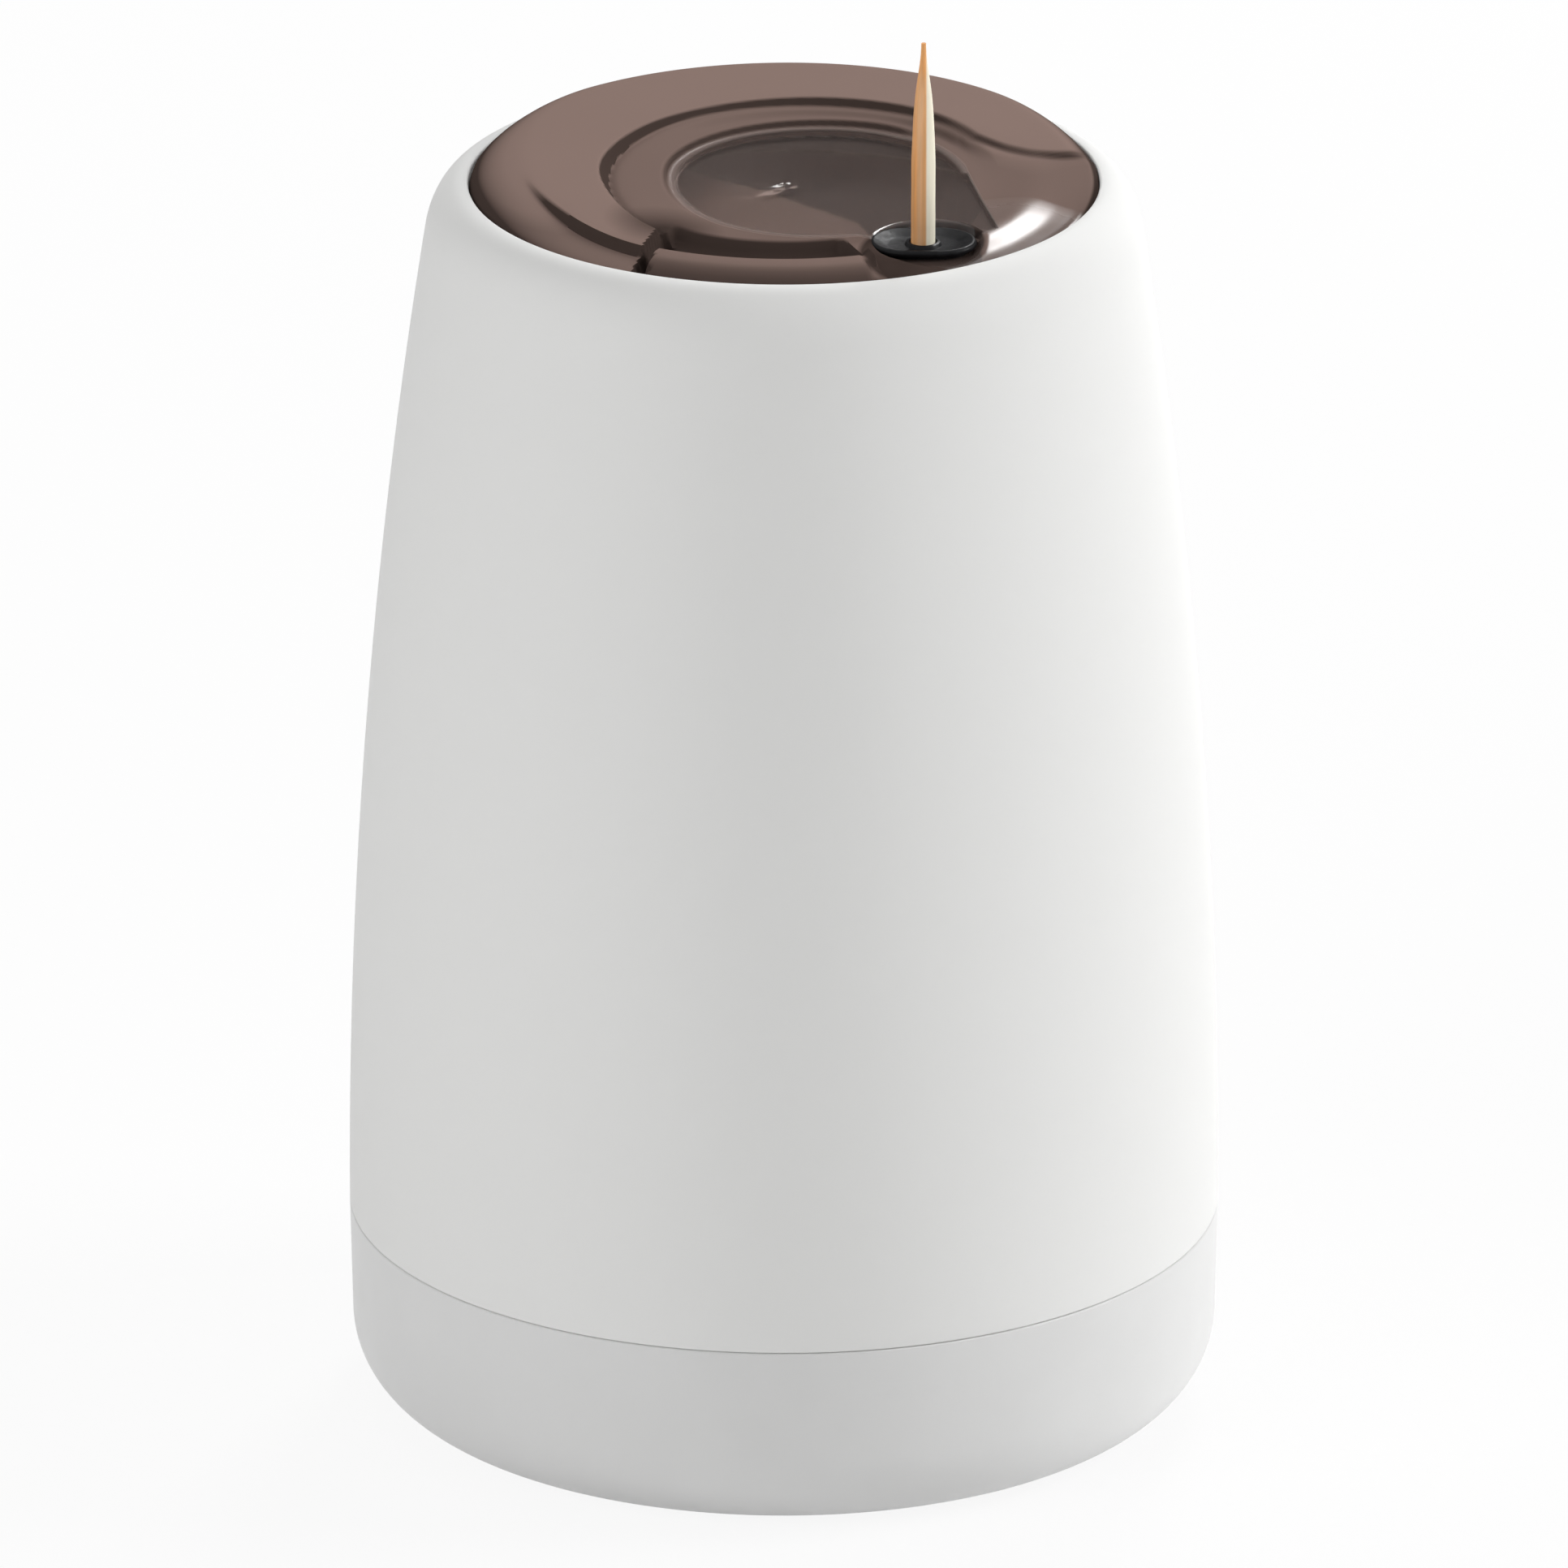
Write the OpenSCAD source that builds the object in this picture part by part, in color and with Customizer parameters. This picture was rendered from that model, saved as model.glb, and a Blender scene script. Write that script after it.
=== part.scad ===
// Press-top toothpick holder: pushing the lid down lifts one toothpick out of its outlet.
// Millimetres, +Z up. The origin is on the table, under the middle of the base.

/* [Outer body] */
// Height of the white rim above the table
rim_h = 104.5; // [100:0.5:115]
// Height of the seam between the base and the shell
seam_h = 16.8; // [15:0.2:20]
// Widest radius, at the seam
body_r = 35.7; // [35:0.1:40]
// How much the side draws in between the seam and the rim
taper = 7.3; // [6:0.1:8]
// Radius of the rounded lip at the top of the shell
lip_r = 5.5; // [5:0.1:6.5]
// How far the mouth, which the lid sinks into, lies inside the widest radius
mouth_step = 10.5; // [10:0.1:11]
// Wall of the shell
shell_wall = 2.2; // [1.6:0.1:2.6]

/* [Base] */
// Radius of the rounding at the bottom edge
foot_fillet = 7; // [5:0.5:8]
// How much the base draws in between the seam and the bottom rounding
base_draft = 0.2; // [0:0.1:0.6]
// Thickness of the base's floor
base_floor = 3; // [2.4:0.2:4]
// Wall of the spigot that the shell is pushed over
spigot_wall = 2; // [1.6:0.1:2.6]
// Height of that spigot above the seam
spigot_h = 5.5; // [4:0.5:9]
// How far the anti-slip ring stands out under the base
foot_proud = 0.3; // [0.2:0.1:0.8]
// How far the anti-slip ring lies inside the widest radius
foot_step = 9.2; // [9:0.2:12]
// Width of the anti-slip ring
foot_w = 5; // [3:0.5:5.5]

/* [Press action] */
// How far the lid and the barrel go down
travel = 20; // [14:0.5:21]
// How far the lifter pin reaches into the barrel's floor at rest
pin_reach = 2.3; // [2:0.1:3]
// How far the barrel's side lies inside the lid's edge
barrel_step = 3.6; // [3.4:0.1:4]
// Wall of the barrel
barrel_wall = 1.4; // [1.2:0.1:1.6]
// Wall of the sleeve that guides the barrel
sleeve_wall = 1.6; // [1.2:0.1:2]
// Width of the barrel's guide lugs
lug_w = 6; // [4:0.5:8]
// Number of guide lugs and slots
lug_count = 3; // [2:1:4]
// Wire of the return spring
spring_wire = 1.2; // [0.8:0.1:1.3]
// Distance from the return spring's wire to the lifter pin
spring_step = 7.4; // [6.8:0.2:8.6]
// Turns of the return spring
spring_turns = 7; // [5:1:7]
// Diameter of the lifter pin
pin_d = 2; // [1.6:0.1:2.2]

/* [Toothpick] */
// Length of one toothpick
pick_len = 65; // [62:1:68]
// Diameter of one toothpick
pick_d = 2; // [1.8:0.1:2.2]
// How far the toothpick stands out of its outlet
pick_show = 17.2; // [15:0.2:20]
// Length of its pointed ends
pick_point = 9.5; // [7:0.5:12]

/* [Lid] */
// Height of the lid's ridge above the white rim
ridge_h = 2.2; // [1.6:0.1:3]
// Height of the step inside the ridge, at the back
step_h = 1; // [0.8:0.1:1.5]
// Mean width of the ridge round the lid
ridge_w = 8.4; // [8:0.1:9]
// Width of the step between the ridge and the finger dish
band_w = 3.4; // [3:0.1:4]
// Thickness of the lid under the finger dish
lid_wall = 1.2; // [1:0.1:1.4]
// Height of the pull tab in front above the white rim
tab_h = 0.8; // [0.4:0.1:1.2]
// How far the outlet lies inside the barrel's wall
outlet_step = 2.4; // [2.2:0.1:2.8]
// Depth of the outlet's recess under the white rim
outlet_drop = 0.8; // [0.6:0.1:1]

/* [Hopper] */
// Thickness of the deck that the lid rests on
deck_t = 1.5; // [1.2:0.1:2]
// Height of the collar that the lid's spigot sits in
collar_h = 2; // [1.8:0.1:2.4]
// Wall of the hopper that leads the toothpicks to the outlet
hopper_wall = 1.2; // [1:0.1:1.4]
// Slope of the hopper's floor in degrees
floor_slope = 3; // [2:0.5:5]

/* [Hidden] */
$fn = 96;

white = [0.93, 0.93, 0.92];
inner_white = [0.86, 0.86, 0.84];
smoke = [0.36, 0.28, 0.25];
rubber = [0.1, 0.1, 0.1];
silicone = [0.72, 0.72, 0.7];
steel = [0.75, 0.76, 0.78];
birch = [0.9, 0.7, 0.45];

// Steps that a curved outline is drawn in
side_steps = 24;
round_steps = 10;

// Overrun of a cut past the face it opens
over = 1;
// Width of a block that cuts right across the barrel
wide = 3 * body_r;
// Play between pieces that slide past each other
run_play = 0.4;
// Play between pieces that are pushed together
push_play = 0.2;
// Gap left where a stroke ends
stop_gap = 0.3;

// Points along an arc, from angle a0 to angle a1
function arc(cx, cy, r, a0, a1, n) =
    [for (i = [0:n]) let (a = a0 + (a1 - a0) * i / n) [cx + r * cos(a), cy + r * sin(a)]];

// Radii that follow the widest one, from the outside in
mouth_r = body_r - mouth_step;
foot_in = body_r - foot_step - foot_w;

// Outer side of the shell: it leaves the seam upright and draws in more and more
side_h = rim_h - seam_h;
function side_r(z) = body_r - taper * pow((z - seam_h) / side_h, 2);
lip_tilt = atan(2 * taper * (side_h - lip_r) / pow(side_h, 2));
lip_z = rim_h - lip_r;
shoulder_z = lip_z + lip_r * sin(lip_tilt);
lip_x = side_r(shoulder_z) - lip_r * cos(lip_tilt);
seam_gap = 0.2;

// Heights inside the base
floor_z = foot_proud + base_floor;
spigot_out = body_r - shell_wall - push_play;
spigot_in = spigot_out - spigot_wall;
inner_fillet = 4;
foot_groove = 1.2;
ring_round = 0.3;

// Screws: shank and head diameters, head heights and lengths under the head
screw_d = 2.5;
screw_head_d = 5;
screw_head_h = 1.8;
screw_len = 7;
cross_w = 0.8;
cross_share = 0.6;
small_screw_d = 2;
small_head_d = 3.8;
small_head_h = 1.4;
small_screw_len = 4.6;
screw_count = 3;
boss_wall = 1.8;

// Lid's edge, and the barrel's side inside it
lid_gap = 0.4;
lid_r = mouth_r - lid_gap;
swirl_r = lid_r - ridge_w;
dish_r = swirl_r - band_w;
barrel_r = lid_r - barrel_step;
barrel_in = barrel_r - barrel_wall;

// Outlet, toothpick and the pin that lifts it
outlet_turn = 310;
outlet_r = barrel_in - outlet_step;
outlet_x = outlet_r * cos(outlet_turn);
outlet_y = outlet_r * sin(outlet_turn);
outlet_z = rim_h - outlet_drop;
pick_z = outlet_z + pick_show - pick_len;
pick_tip_r = 0.2;
pick_belly_share = 0.72;
pin_tip = pick_z - travel - stop_gap;
channel_play = 0.6;
channel_r = (pick_d + channel_play) / 2;
holder_wall = 2;
holder_r = pin_d / 2 + holder_wall;
holder_h = 7;
holder_plate = 2;
holder_reach = 6.5;
holder_pad_r = small_head_d / 2 + push_play;
pin_seat = 1;
dimple_share = 0.7;
dimple_h_share = 0.2;

// Guide sleeve
sleeve_in = barrel_r + run_play;
sleeve_out = sleeve_in + sleeve_wall;
boss_h = 6;
boss_r = screw_d / 2 + boss_wall;
flange_t = 2;
screw_circle = sleeve_out + screw_head_d / 2 + push_play + run_play;
flange_r = screw_circle + screw_head_d / 2;
first_screw = 30;

// Barrel, deck and collar
lid_edge_h = 1.7;
collar_set = 0.5;
deck_r = lid_r - collar_set;
collar_in = deck_r - barrel_wall;
rest_z = rim_h - lid_edge_h;
deck_z = rest_z - collar_h - deck_t;
sleeve_z = floor_z + boss_h;
sleeve_top = deck_z - travel - stop_gap;
barrel_z = pin_tip - pin_reach;
barrel_floor = 2;
first_lug = 10;
lug_rise = 2;
lug_h = 4;
lug_r = sleeve_out - push_play;
lug_z = barrel_z + lug_rise;
slot_w = lug_w + 2 * stop_gap;

// Spring, and the tube and ring that centre it; the tube clears the coil's flat sides
spring_play = 0.6;
curl_rings = 8;
wire_sides = 6;
spring_r = outlet_r - spring_step;
spring_z = floor_z;
spring_h = barrel_z - floor_z;
post_r = (spring_r - spring_wire / 2) * cos(180 / curl_rings) - run_play;
post_wall = 2;
post_h = 5;
seat_wall = 1.2;
seat_r = spring_r + spring_wire / 2 + spring_play;
seat_h = 2;
end_pitch = spring_wire + spring_play;

// Hopper: its outline, in shares of its radius, runs from the outlet's channel round the back
hopper_r = barrel_in - hopper_wall - push_play;
hopper_neck = 0.3;
neck_r = channel_r + hopper_neck;
left_knee_shares = [0.32, -0.065];
right_knee_shares = [0.89, 0.185];
hopper_left_turn = 124;
hopper_right_turn = 40;
funnel_z = barrel_z + barrel_floor;
funnel_rise = 1.1;
hopper_foot_gap = 0.3;
funnel_top = funnel_z + funnel_rise + 2 * barrel_in * tan(floor_slope);

// Lid: places on its top, as angles round the axis
tab_right_turn = 289;
ledge_start_turn = 185;
slit_turn = 240;
slope_end_turn = 368;
slit_w = 1.3;
groove_w = 1.3;
groove_h = 0.9;
turn_step = 1;
tab_share = 0.81;
tab_in = lid_r * tab_share;
front_share = 0.4;
front_in = lid_r * front_share;
front_rise = 0.1;
front_z = rim_h + front_rise;
slope_share = 0.42;
slope_in = lid_r * slope_share;
slope_rise = 0.15;
ledge_share = 0.85;
ledge_in = lid_r * ledge_share;
ledge_h = 0.7;
edge_drop = 0.4;
lid_edge = [lid_r + over, rim_h - edge_drop];
ridge_round = 1.7;
swirl_shift = [2, -1.9];
swirl_slant = 0.9;
dish_shift = [3, -0.6];
dish_slant = 0.8;
recess_r = 5.2;
recess_out = 1.2;
spigot_r = collar_in - push_play;
spigot_t = 1.3;
lid_spigot_h = collar_h - stop_gap;
lid_under = rim_h - lid_wall;
hollow_out = spigot_r - spigot_t;
hollow_share = 0.72;
hollow_in = lid_r * hollow_share;
ring_out = hollow_out - push_play;
hollow_from = 25;
hollow_to = 180;

// Grommet: an oval plug with a bead above and below the lid
grommet_l = 7.4;
grommet_w = 5;
grommet_bead = 0.6;
bead_h = 0.6;
grommet_play = 0.05;
recess_floor = lid_wall;

function place(turn, r) = [r * cos(turn), r * sin(turn), 0];

// Base cup: rounded bottom, straight side and the spigot for the shell
module cup_half() {
    low_r = body_r - base_draft;
    bottom = arc(low_r - foot_fillet, foot_proud + foot_fillet, foot_fillet, -90, 0, round_steps);
    inside = arc(spigot_in - inner_fillet, floor_z + inner_fillet, inner_fillet, 0, -90, round_steps);
    edge_z = seam_h - seam_gap / 2;
    polygon(concat([[0, foot_proud]], bottom,
        [[body_r, edge_z], [spigot_out, edge_z], [spigot_out, seam_h + spigot_h],
            [spigot_in, seam_h + spigot_h]],
        inside, [[0, floor_z]]));
}

module base_cup() {
    color(white) difference() {
        union() {
            rotate_extrude() cup_half();
            // Tube that centres the spring
            translate([0, 0, floor_z - over]) cylinder(r = post_r, h = post_h + over);
            for (i = [0:screw_count - 1])
                translate(place(first_screw + i * 360 / screw_count, screw_circle))
                    translate([0, 0, floor_z - over]) cylinder(r = boss_r, h = boss_h + over);
        }
        translate([0, 0, floor_z]) cylinder(r = post_r - post_wall, h = post_h + over);
        translate([0, 0, -over]) difference() {
            cylinder(r = foot_in + foot_w, h = over + foot_proud + foot_groove);
            cylinder(r = foot_in, h = over + foot_proud + foot_groove);
        }
        for (i = [0:screw_count - 1])
            translate(place(first_screw + i * 360 / screw_count, screw_circle))
                translate([0, 0, sleeve_z + flange_t - screw_len])
                    cylinder(d = screw_d, h = screw_len);
        for (side = [-1, 1])
            pin_place() translate([0, side * holder_reach, small_screw_z()])
                cylinder(d = small_screw_d, h = small_screw_len);
    }
}

module foot_ring() {
    h = foot_proud + foot_groove;
    color(silicone) rotate_extrude() polygon([[foot_in + ring_round, 0],
        [foot_in + foot_w - ring_round, 0], [foot_in + foot_w, ring_round],
        [foot_in + foot_w, h], [foot_in, h], [foot_in, ring_round]]);
}

// Fixed sleeve: the barrel's lugs run in its slots
module guide_sleeve() {
    slot_z = lug_z - travel - stop_gap;
    color(inner_white) difference() {
        union() {
            translate([0, 0, sleeve_z]) cylinder(r = sleeve_out, h = sleeve_top - sleeve_z);
            translate([0, 0, sleeve_z]) cylinder(r = flange_r, h = flange_t);
        }
        translate([0, 0, sleeve_z - over])
            cylinder(r = sleeve_in, h = sleeve_top - sleeve_z + 2 * over);
        for (i = [0:lug_count - 1])
            rotate([0, 0, first_lug + i * 360 / lug_count])
                translate([sleeve_in - over, -slot_w / 2, slot_z])
                    cube([sleeve_wall + 2 * over, slot_w, travel + lug_h + 2 * stop_gap]);
        for (i = [0:screw_count - 1])
            translate(place(first_screw + i * 360 / screw_count, screw_circle))
                translate([0, 0, sleeve_z - over]) cylinder(d = screw_d, h = flange_t + 2 * over);
    }
}

// Pan-head screw with a cross in its head, standing on z = 0 and pointing down
module pan_screw(d, length, head_d, head_h) {
    difference() {
        union() {
            translate([0, 0, -length]) cylinder(d = d, h = length);
            cylinder(d1 = head_d, d2 = head_d - head_h, h = head_h);
        }
        for (a = [0, 90])
            rotate([0, 0, a]) translate([0, 0, head_h])
                cube([head_d * cross_share, cross_w, head_h], center = true);
    }
}

module sleeve_screws() {
    color(steel) for (i = [0:screw_count - 1])
        translate(place(first_screw + i * 360 / screw_count, screw_circle))
            translate([0, 0, sleeve_z + flange_t])
                pan_screw(screw_d, screw_len, screw_head_d, screw_head_h);
}

// Frame of the lifter pin, under the outlet, with x pointing away from the axis
module pin_place() {
    rotate([0, 0, outlet_turn]) translate([outlet_r, 0, 0]) children();
}

function small_screw_z() = floor_z + holder_plate - small_screw_len;

module pin_holder() {
    color(inner_white) difference() {
        pin_place() translate([0, 0, floor_z]) {
            cylinder(r = holder_r, h = holder_h);
            translate([-holder_pad_r, -holder_reach, 0])
                cube([2 * holder_pad_r, 2 * holder_reach, holder_plate]);
            for (side = [-1, 1])
                translate([0, side * holder_reach, 0]) cylinder(r = holder_pad_r, h = holder_plate);
        }
        pin_place() {
            translate([0, 0, floor_z + pin_seat]) cylinder(d = pin_d, h = holder_h);
            for (side = [-1, 1])
                translate([0, side * holder_reach, floor_z - over])
                    cylinder(d = small_screw_d, h = holder_plate + 2 * over);
        }
    }
}

module pin_holder_screws() {
    color(steel) for (side = [-1, 1])
        pin_place() translate([0, side * holder_reach, floor_z + holder_plate])
            pan_screw(small_screw_d, small_screw_len, small_head_d, small_head_h);
}

// Steel pin with a small dimple that centres the toothpick's point
module lifter_pin() {
    dimple_h = pin_d * dimple_h_share;
    color(steel) pin_place() difference() {
        translate([0, 0, floor_z + pin_seat]) cylinder(d = pin_d, h = pin_tip - floor_z - pin_seat);
        translate([0, 0, pin_tip - dimple_h])
            cylinder(d1 = 0, d2 = 2 * dimple_share * pin_d, h = 2 * dimple_h);
    }
}

// Return spring: one tube that follows a coil, with close turns at both ends
spring_rise = spring_h - spring_wire;
open_pitch = (spring_rise - 2 * end_pitch) / (spring_turns - 2);
function coil_z(t) = t < 1 ? t * end_pitch
    : t > spring_turns - 1 ? spring_rise - (spring_turns - t) * end_pitch
    : end_pitch + (t - 1) * open_pitch;
spring_rings = spring_turns * curl_rings;
function coil_point(i, s) = let (
    turn = 360 * i / curl_rings,
    side = 360 * s / wire_sides,
    r = spring_r + spring_wire / 2 * cos(side))
    [r * cos(turn), r * sin(turn),
        spring_z + spring_wire / 2 + coil_z(i / curl_rings) + spring_wire / 2 * sin(side)];
spring_gap = min([for (i = [0:spring_rings - curl_rings])
    for (a = [0:wire_sides - 1], b = [0:wire_sides - 1])
    norm(coil_point(i, a) - coil_point(i + curl_rings, b))]);
echo("least gap between two turns of the spring, mm", spring_gap);

module return_spring() {
    points = [for (i = [0:spring_rings], s = [0:wire_sides - 1]) coil_point(i, s)];
    skin = [for (i = [0:spring_rings - 1], s = [0:wire_sides - 1], half = [0, 1])
        let (a = i * wire_sides + s, b = i * wire_sides + (s + 1) % wire_sides)
        half == 0 ? [a, b + wire_sides, b] : [a, a + wire_sides, b + wire_sides]];
    last = spring_rings * wire_sides;
    caps = [for (s = [1:wire_sides - 2], end = [0, 1])
        end == 0 ? [0, s, s + 1] : [last, last + s + 1, last + s]];
    color(steel) polyhedron(points, concat(skin, caps), convexity = 10);
}

// Body: the white shell over the works
module shell_half() {
    in_r = lip_r - shell_wall;
    from_z = seam_h + seam_gap / 2;
    outer = concat(
        [for (i = [0:side_steps - 1])
            let (z = from_z + (shoulder_z - from_z) * i / side_steps) [side_r(z), z]],
        arc(lip_x, lip_z, lip_r, lip_tilt, acos((mouth_r - lip_x) / lip_r), round_steps));
    inner = concat(
        arc(lip_x, lip_z, in_r, acos((mouth_r - lip_x) / in_r), 0, round_steps),
        [for (i = [side_steps - 1:-1:0])
            let (z = from_z + (lip_z - from_z) * i / side_steps)
            [side_r(z) - shell_wall + (lip_x + in_r - side_r(lip_z) + shell_wall) * i / side_steps, z]]);
    polygon(concat(outer, inner));
}

module outer_shell() {
    color(white) rotate_extrude() shell_half();
}

// Barrel: it holds the toothpicks and moves with the lid
module toothpick_barrel() {
    color(inner_white) difference() {
        union() {
            translate([0, 0, barrel_z]) cylinder(r = barrel_r, h = deck_z - barrel_z);
            // Ring under the floor that centres the spring
            translate([0, 0, barrel_z - seat_h]) cylinder(r = seat_r + seat_wall, h = seat_h + over);
            for (i = [0:lug_count - 1])
                rotate([0, 0, first_lug + i * 360 / lug_count])
                    translate([barrel_in + push_play, -lug_w / 2, lug_z])
                        cube([lug_r - barrel_in - push_play, lug_w, lug_h]);
        }
        translate([0, 0, funnel_z]) cylinder(r = barrel_in, h = deck_z - funnel_z + over);
        translate([0, 0, barrel_z - seat_h - over]) cylinder(r = seat_r, h = seat_h + over);
        translate([outlet_x, outlet_y, barrel_z - over])
            cylinder(r = channel_r, h = barrel_floor + 2 * over);
    }
}

// Sloping floor that leads the toothpicks to the channel over the pin
module funnel_floor() {
    color(inner_white) difference() {
        translate([0, 0, funnel_z]) cylinder(r = barrel_in - push_play, h = funnel_top - funnel_z);
        rotate([0, 0, outlet_turn])
            translate([barrel_in, 0, funnel_z + funnel_rise]) rotate([0, floor_slope, 0])
                translate([-wide, -wide / 2, 0]) cube([wide + over, wide, funnel_top]);
        translate([outlet_x, outlet_y, funnel_z - over]) cylinder(r = channel_r, h = funnel_top);
    }
}

// Plan of the hopper's opening
module hopper_plan() {
    translate([outlet_x, outlet_y]) circle(r = neck_r);
    polygon(concat([[outlet_x - neck_r, outlet_y], hopper_r * left_knee_shares],
        arc(0, 0, hopper_r, hopper_left_turn, hopper_right_turn, round_steps),
        [hopper_r * right_knee_shares, [outlet_x + neck_r, outlet_y]]));
}

// Hopper: the walls that narrow towards the outlet, the deck and the collar round the lid's spigot
module hopper_insert() {
    wall_z = funnel_top + hopper_foot_gap;
    color(inner_white) difference() {
        union() {
            translate([0, 0, wall_z]) linear_extrude(deck_z - wall_z + over) intersection() {
                offset(delta = hopper_wall) hopper_plan();
                circle(r = barrel_in - push_play);
            }
            translate([0, 0, deck_z]) cylinder(r = deck_r, h = rest_z - deck_z);
        }
        translate([0, 0, deck_z + deck_t]) cylinder(r = collar_in, h = collar_h + over);
        translate([0, 0, wall_z - over]) linear_extrude(rest_z - wall_z + 2 * over) hopper_plan();
    }
}

// A ring sector over a line of [r, z] points, which cuts away the lid's top there
module sector_over(from, to, line) {
    top = rim_h + ridge_h + over;
    rotate([0, 0, from]) rotate_extrude(angle = to - from)
        polygon(concat(line, [[line[len(line) - 1].x, top], [line[0].x, top]]));
}

// Lid without its top features: edge, rounded ridge and flat top
module lid_blank() {
    top = rim_h + ridge_h;
    rotate_extrude() polygon(concat(
        [[0, lid_under - recess_floor], [spigot_r, lid_under - recess_floor], [spigot_r, rest_z],
            [lid_r, rest_z], [lid_r, top - ridge_round]],
        arc(lid_r - ridge_round, top - ridge_round, ridge_round, 0, 90, round_steps),
        [[0, top]]));
}

module press_lid() {
    color(smoke) difference() {
        union() {
            lid_blank();
            translate([0, 0, rest_z - lid_spigot_h]) cylinder(r = spigot_r, h = lid_spigot_h);
        }
        // Step inside the ridge
        translate([swirl_shift.x, swirl_shift.y, rim_h + step_h])
            cylinder(r1 = swirl_r - swirl_slant, r2 = swirl_r + swirl_slant, h = 2 * (ridge_h - step_h));
        // Finger dish
        translate([dish_shift.x, dish_shift.y, rim_h])
            cylinder(r1 = dish_r - dish_slant, r2 = dish_r + dish_slant, h = 2 * step_h);
        // Low ledge left of the slit, then the nail groove and the pull tab, then the outlet's slope
        sector_over(ledge_start_turn, slit_turn - turn_step,
            [[ledge_in, rim_h + ledge_h], lid_edge]);
        sector_over(slit_turn + turn_step, tab_right_turn,
            [[front_in, front_z], [tab_in - groove_w, front_z],
            [tab_in - groove_w, rim_h - groove_h], [tab_in, rim_h - groove_h],
            [tab_in, rim_h + tab_h], lid_edge]);
        sector_over(tab_right_turn - turn_step, slope_end_turn,
            [[slope_in, rim_h + slope_rise], lid_edge]);
        // Slit at the left end of the tab
        rotate([0, 0, slit_turn]) translate([hollow_in, -slit_w / 2, rim_h - groove_h])
            cube([lid_r - hollow_in + over, slit_w, ridge_h + groove_h + over]);
        // Recess and hole of the outlet
        translate([outlet_x, outlet_y, outlet_z])
            cylinder(r = recess_r, h = ridge_h + outlet_drop + over);
        translate([0, 0, outlet_z - lid_wall - over]) grommet_oval(0, 2 * lid_wall + 2 * over);
        // Underside: thin under the dish, hollow under the ridge
        difference() {
            translate([0, 0, rest_z - lid_spigot_h - over])
                cylinder(r = hollow_out, h = lid_under - rest_z + lid_spigot_h + over);
            translate([outlet_x, outlet_y, outlet_z - lid_wall])
                cylinder(r = recess_r + recess_out, h = ridge_h);
        }
        translate([0, 0, lid_under - over]) rotate([0, 0, hollow_from])
            rotate_extrude(angle = hollow_to - hollow_from)
                polygon([[hollow_in, 0], [ring_out, 0], [ring_out, ridge_h], [hollow_in, ridge_h]]);
    }
}

// Oval round the outlet, its long side across the radius, grown by some margin
module grommet_oval(grow, h) {
    reach = (grommet_l - grommet_w) / 2;
    w = grommet_w + 2 * grow;
    translate([outlet_x, outlet_y, 0]) {
        for (side = [-1, 1]) translate([side * reach, 0, 0]) cylinder(d = w, h = h);
        translate([-reach, -w / 2, 0]) cube([2 * reach, w, h]);
    }
}

// Rubber plug that grips the toothpick
module outlet_grommet() {
    color(rubber) difference() {
        union() {
            translate([0, 0, outlet_z - lid_wall - bead_h])
                grommet_oval(-grommet_play, lid_wall + 2 * bead_h);
            translate([0, 0, outlet_z]) grommet_oval(grommet_bead, bead_h);
            translate([0, 0, outlet_z - lid_wall - bead_h]) grommet_oval(grommet_bead, bead_h);
        }
        translate([outlet_x, outlet_y, outlet_z - lid_wall - bead_h - over])
            cylinder(d = pick_d + 2 * grommet_play, h = lid_wall + 2 * bead_h + 2 * over);
    }
}

// Toothpick, pointed at both ends
module toothpick() {
    r = pick_d / 2;
    mid = pick_point / 2;
    color(birch) translate([outlet_x, outlet_y, pick_z]) rotate_extrude() polygon([[0, 0],
        [pick_tip_r, 0], [r * pick_belly_share, mid], [r, pick_point], [r, pick_len - pick_point],
        [r * pick_belly_share, pick_len - mid], [pick_tip_r, pick_len], [0, pick_len]]);
}

base_cup();
foot_ring();
guide_sleeve();
sleeve_screws();
pin_holder();
pin_holder_screws();
lifter_pin();
return_spring();
outer_shell();
toothpick_barrel();
funnel_floor();
hopper_insert();
press_lid();
outlet_grommet();
toothpick();
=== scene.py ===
"""Press-top toothpick holder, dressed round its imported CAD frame.

The frame is in metres. Shapes are worked out in millimetres, as a maker would note them,
and turned into metres where a mesh is made.
"""

import math

import bmesh
import bpy
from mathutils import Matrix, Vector, noise


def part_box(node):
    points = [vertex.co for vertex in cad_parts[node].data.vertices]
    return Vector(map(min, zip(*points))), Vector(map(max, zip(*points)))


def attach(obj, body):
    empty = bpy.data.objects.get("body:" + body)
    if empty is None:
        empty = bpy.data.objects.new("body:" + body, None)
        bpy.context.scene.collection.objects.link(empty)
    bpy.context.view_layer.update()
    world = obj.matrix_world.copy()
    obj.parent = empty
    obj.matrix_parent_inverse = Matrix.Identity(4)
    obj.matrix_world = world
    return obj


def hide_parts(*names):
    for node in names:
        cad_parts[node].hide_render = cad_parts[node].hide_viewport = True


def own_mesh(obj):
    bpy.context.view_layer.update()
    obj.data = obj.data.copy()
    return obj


bl_info = {
    "name": "Press-top Toothpick Holder",
    "version": (1, 0, 0),
    "blender": (4, 5, 0),
    "location": "View3D > Sidebar > Toothpick Holder",
    "description": "Builds a white toothpick holder with a smoky lid that is pressed",
    "category": "Add Mesh",
}

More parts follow.
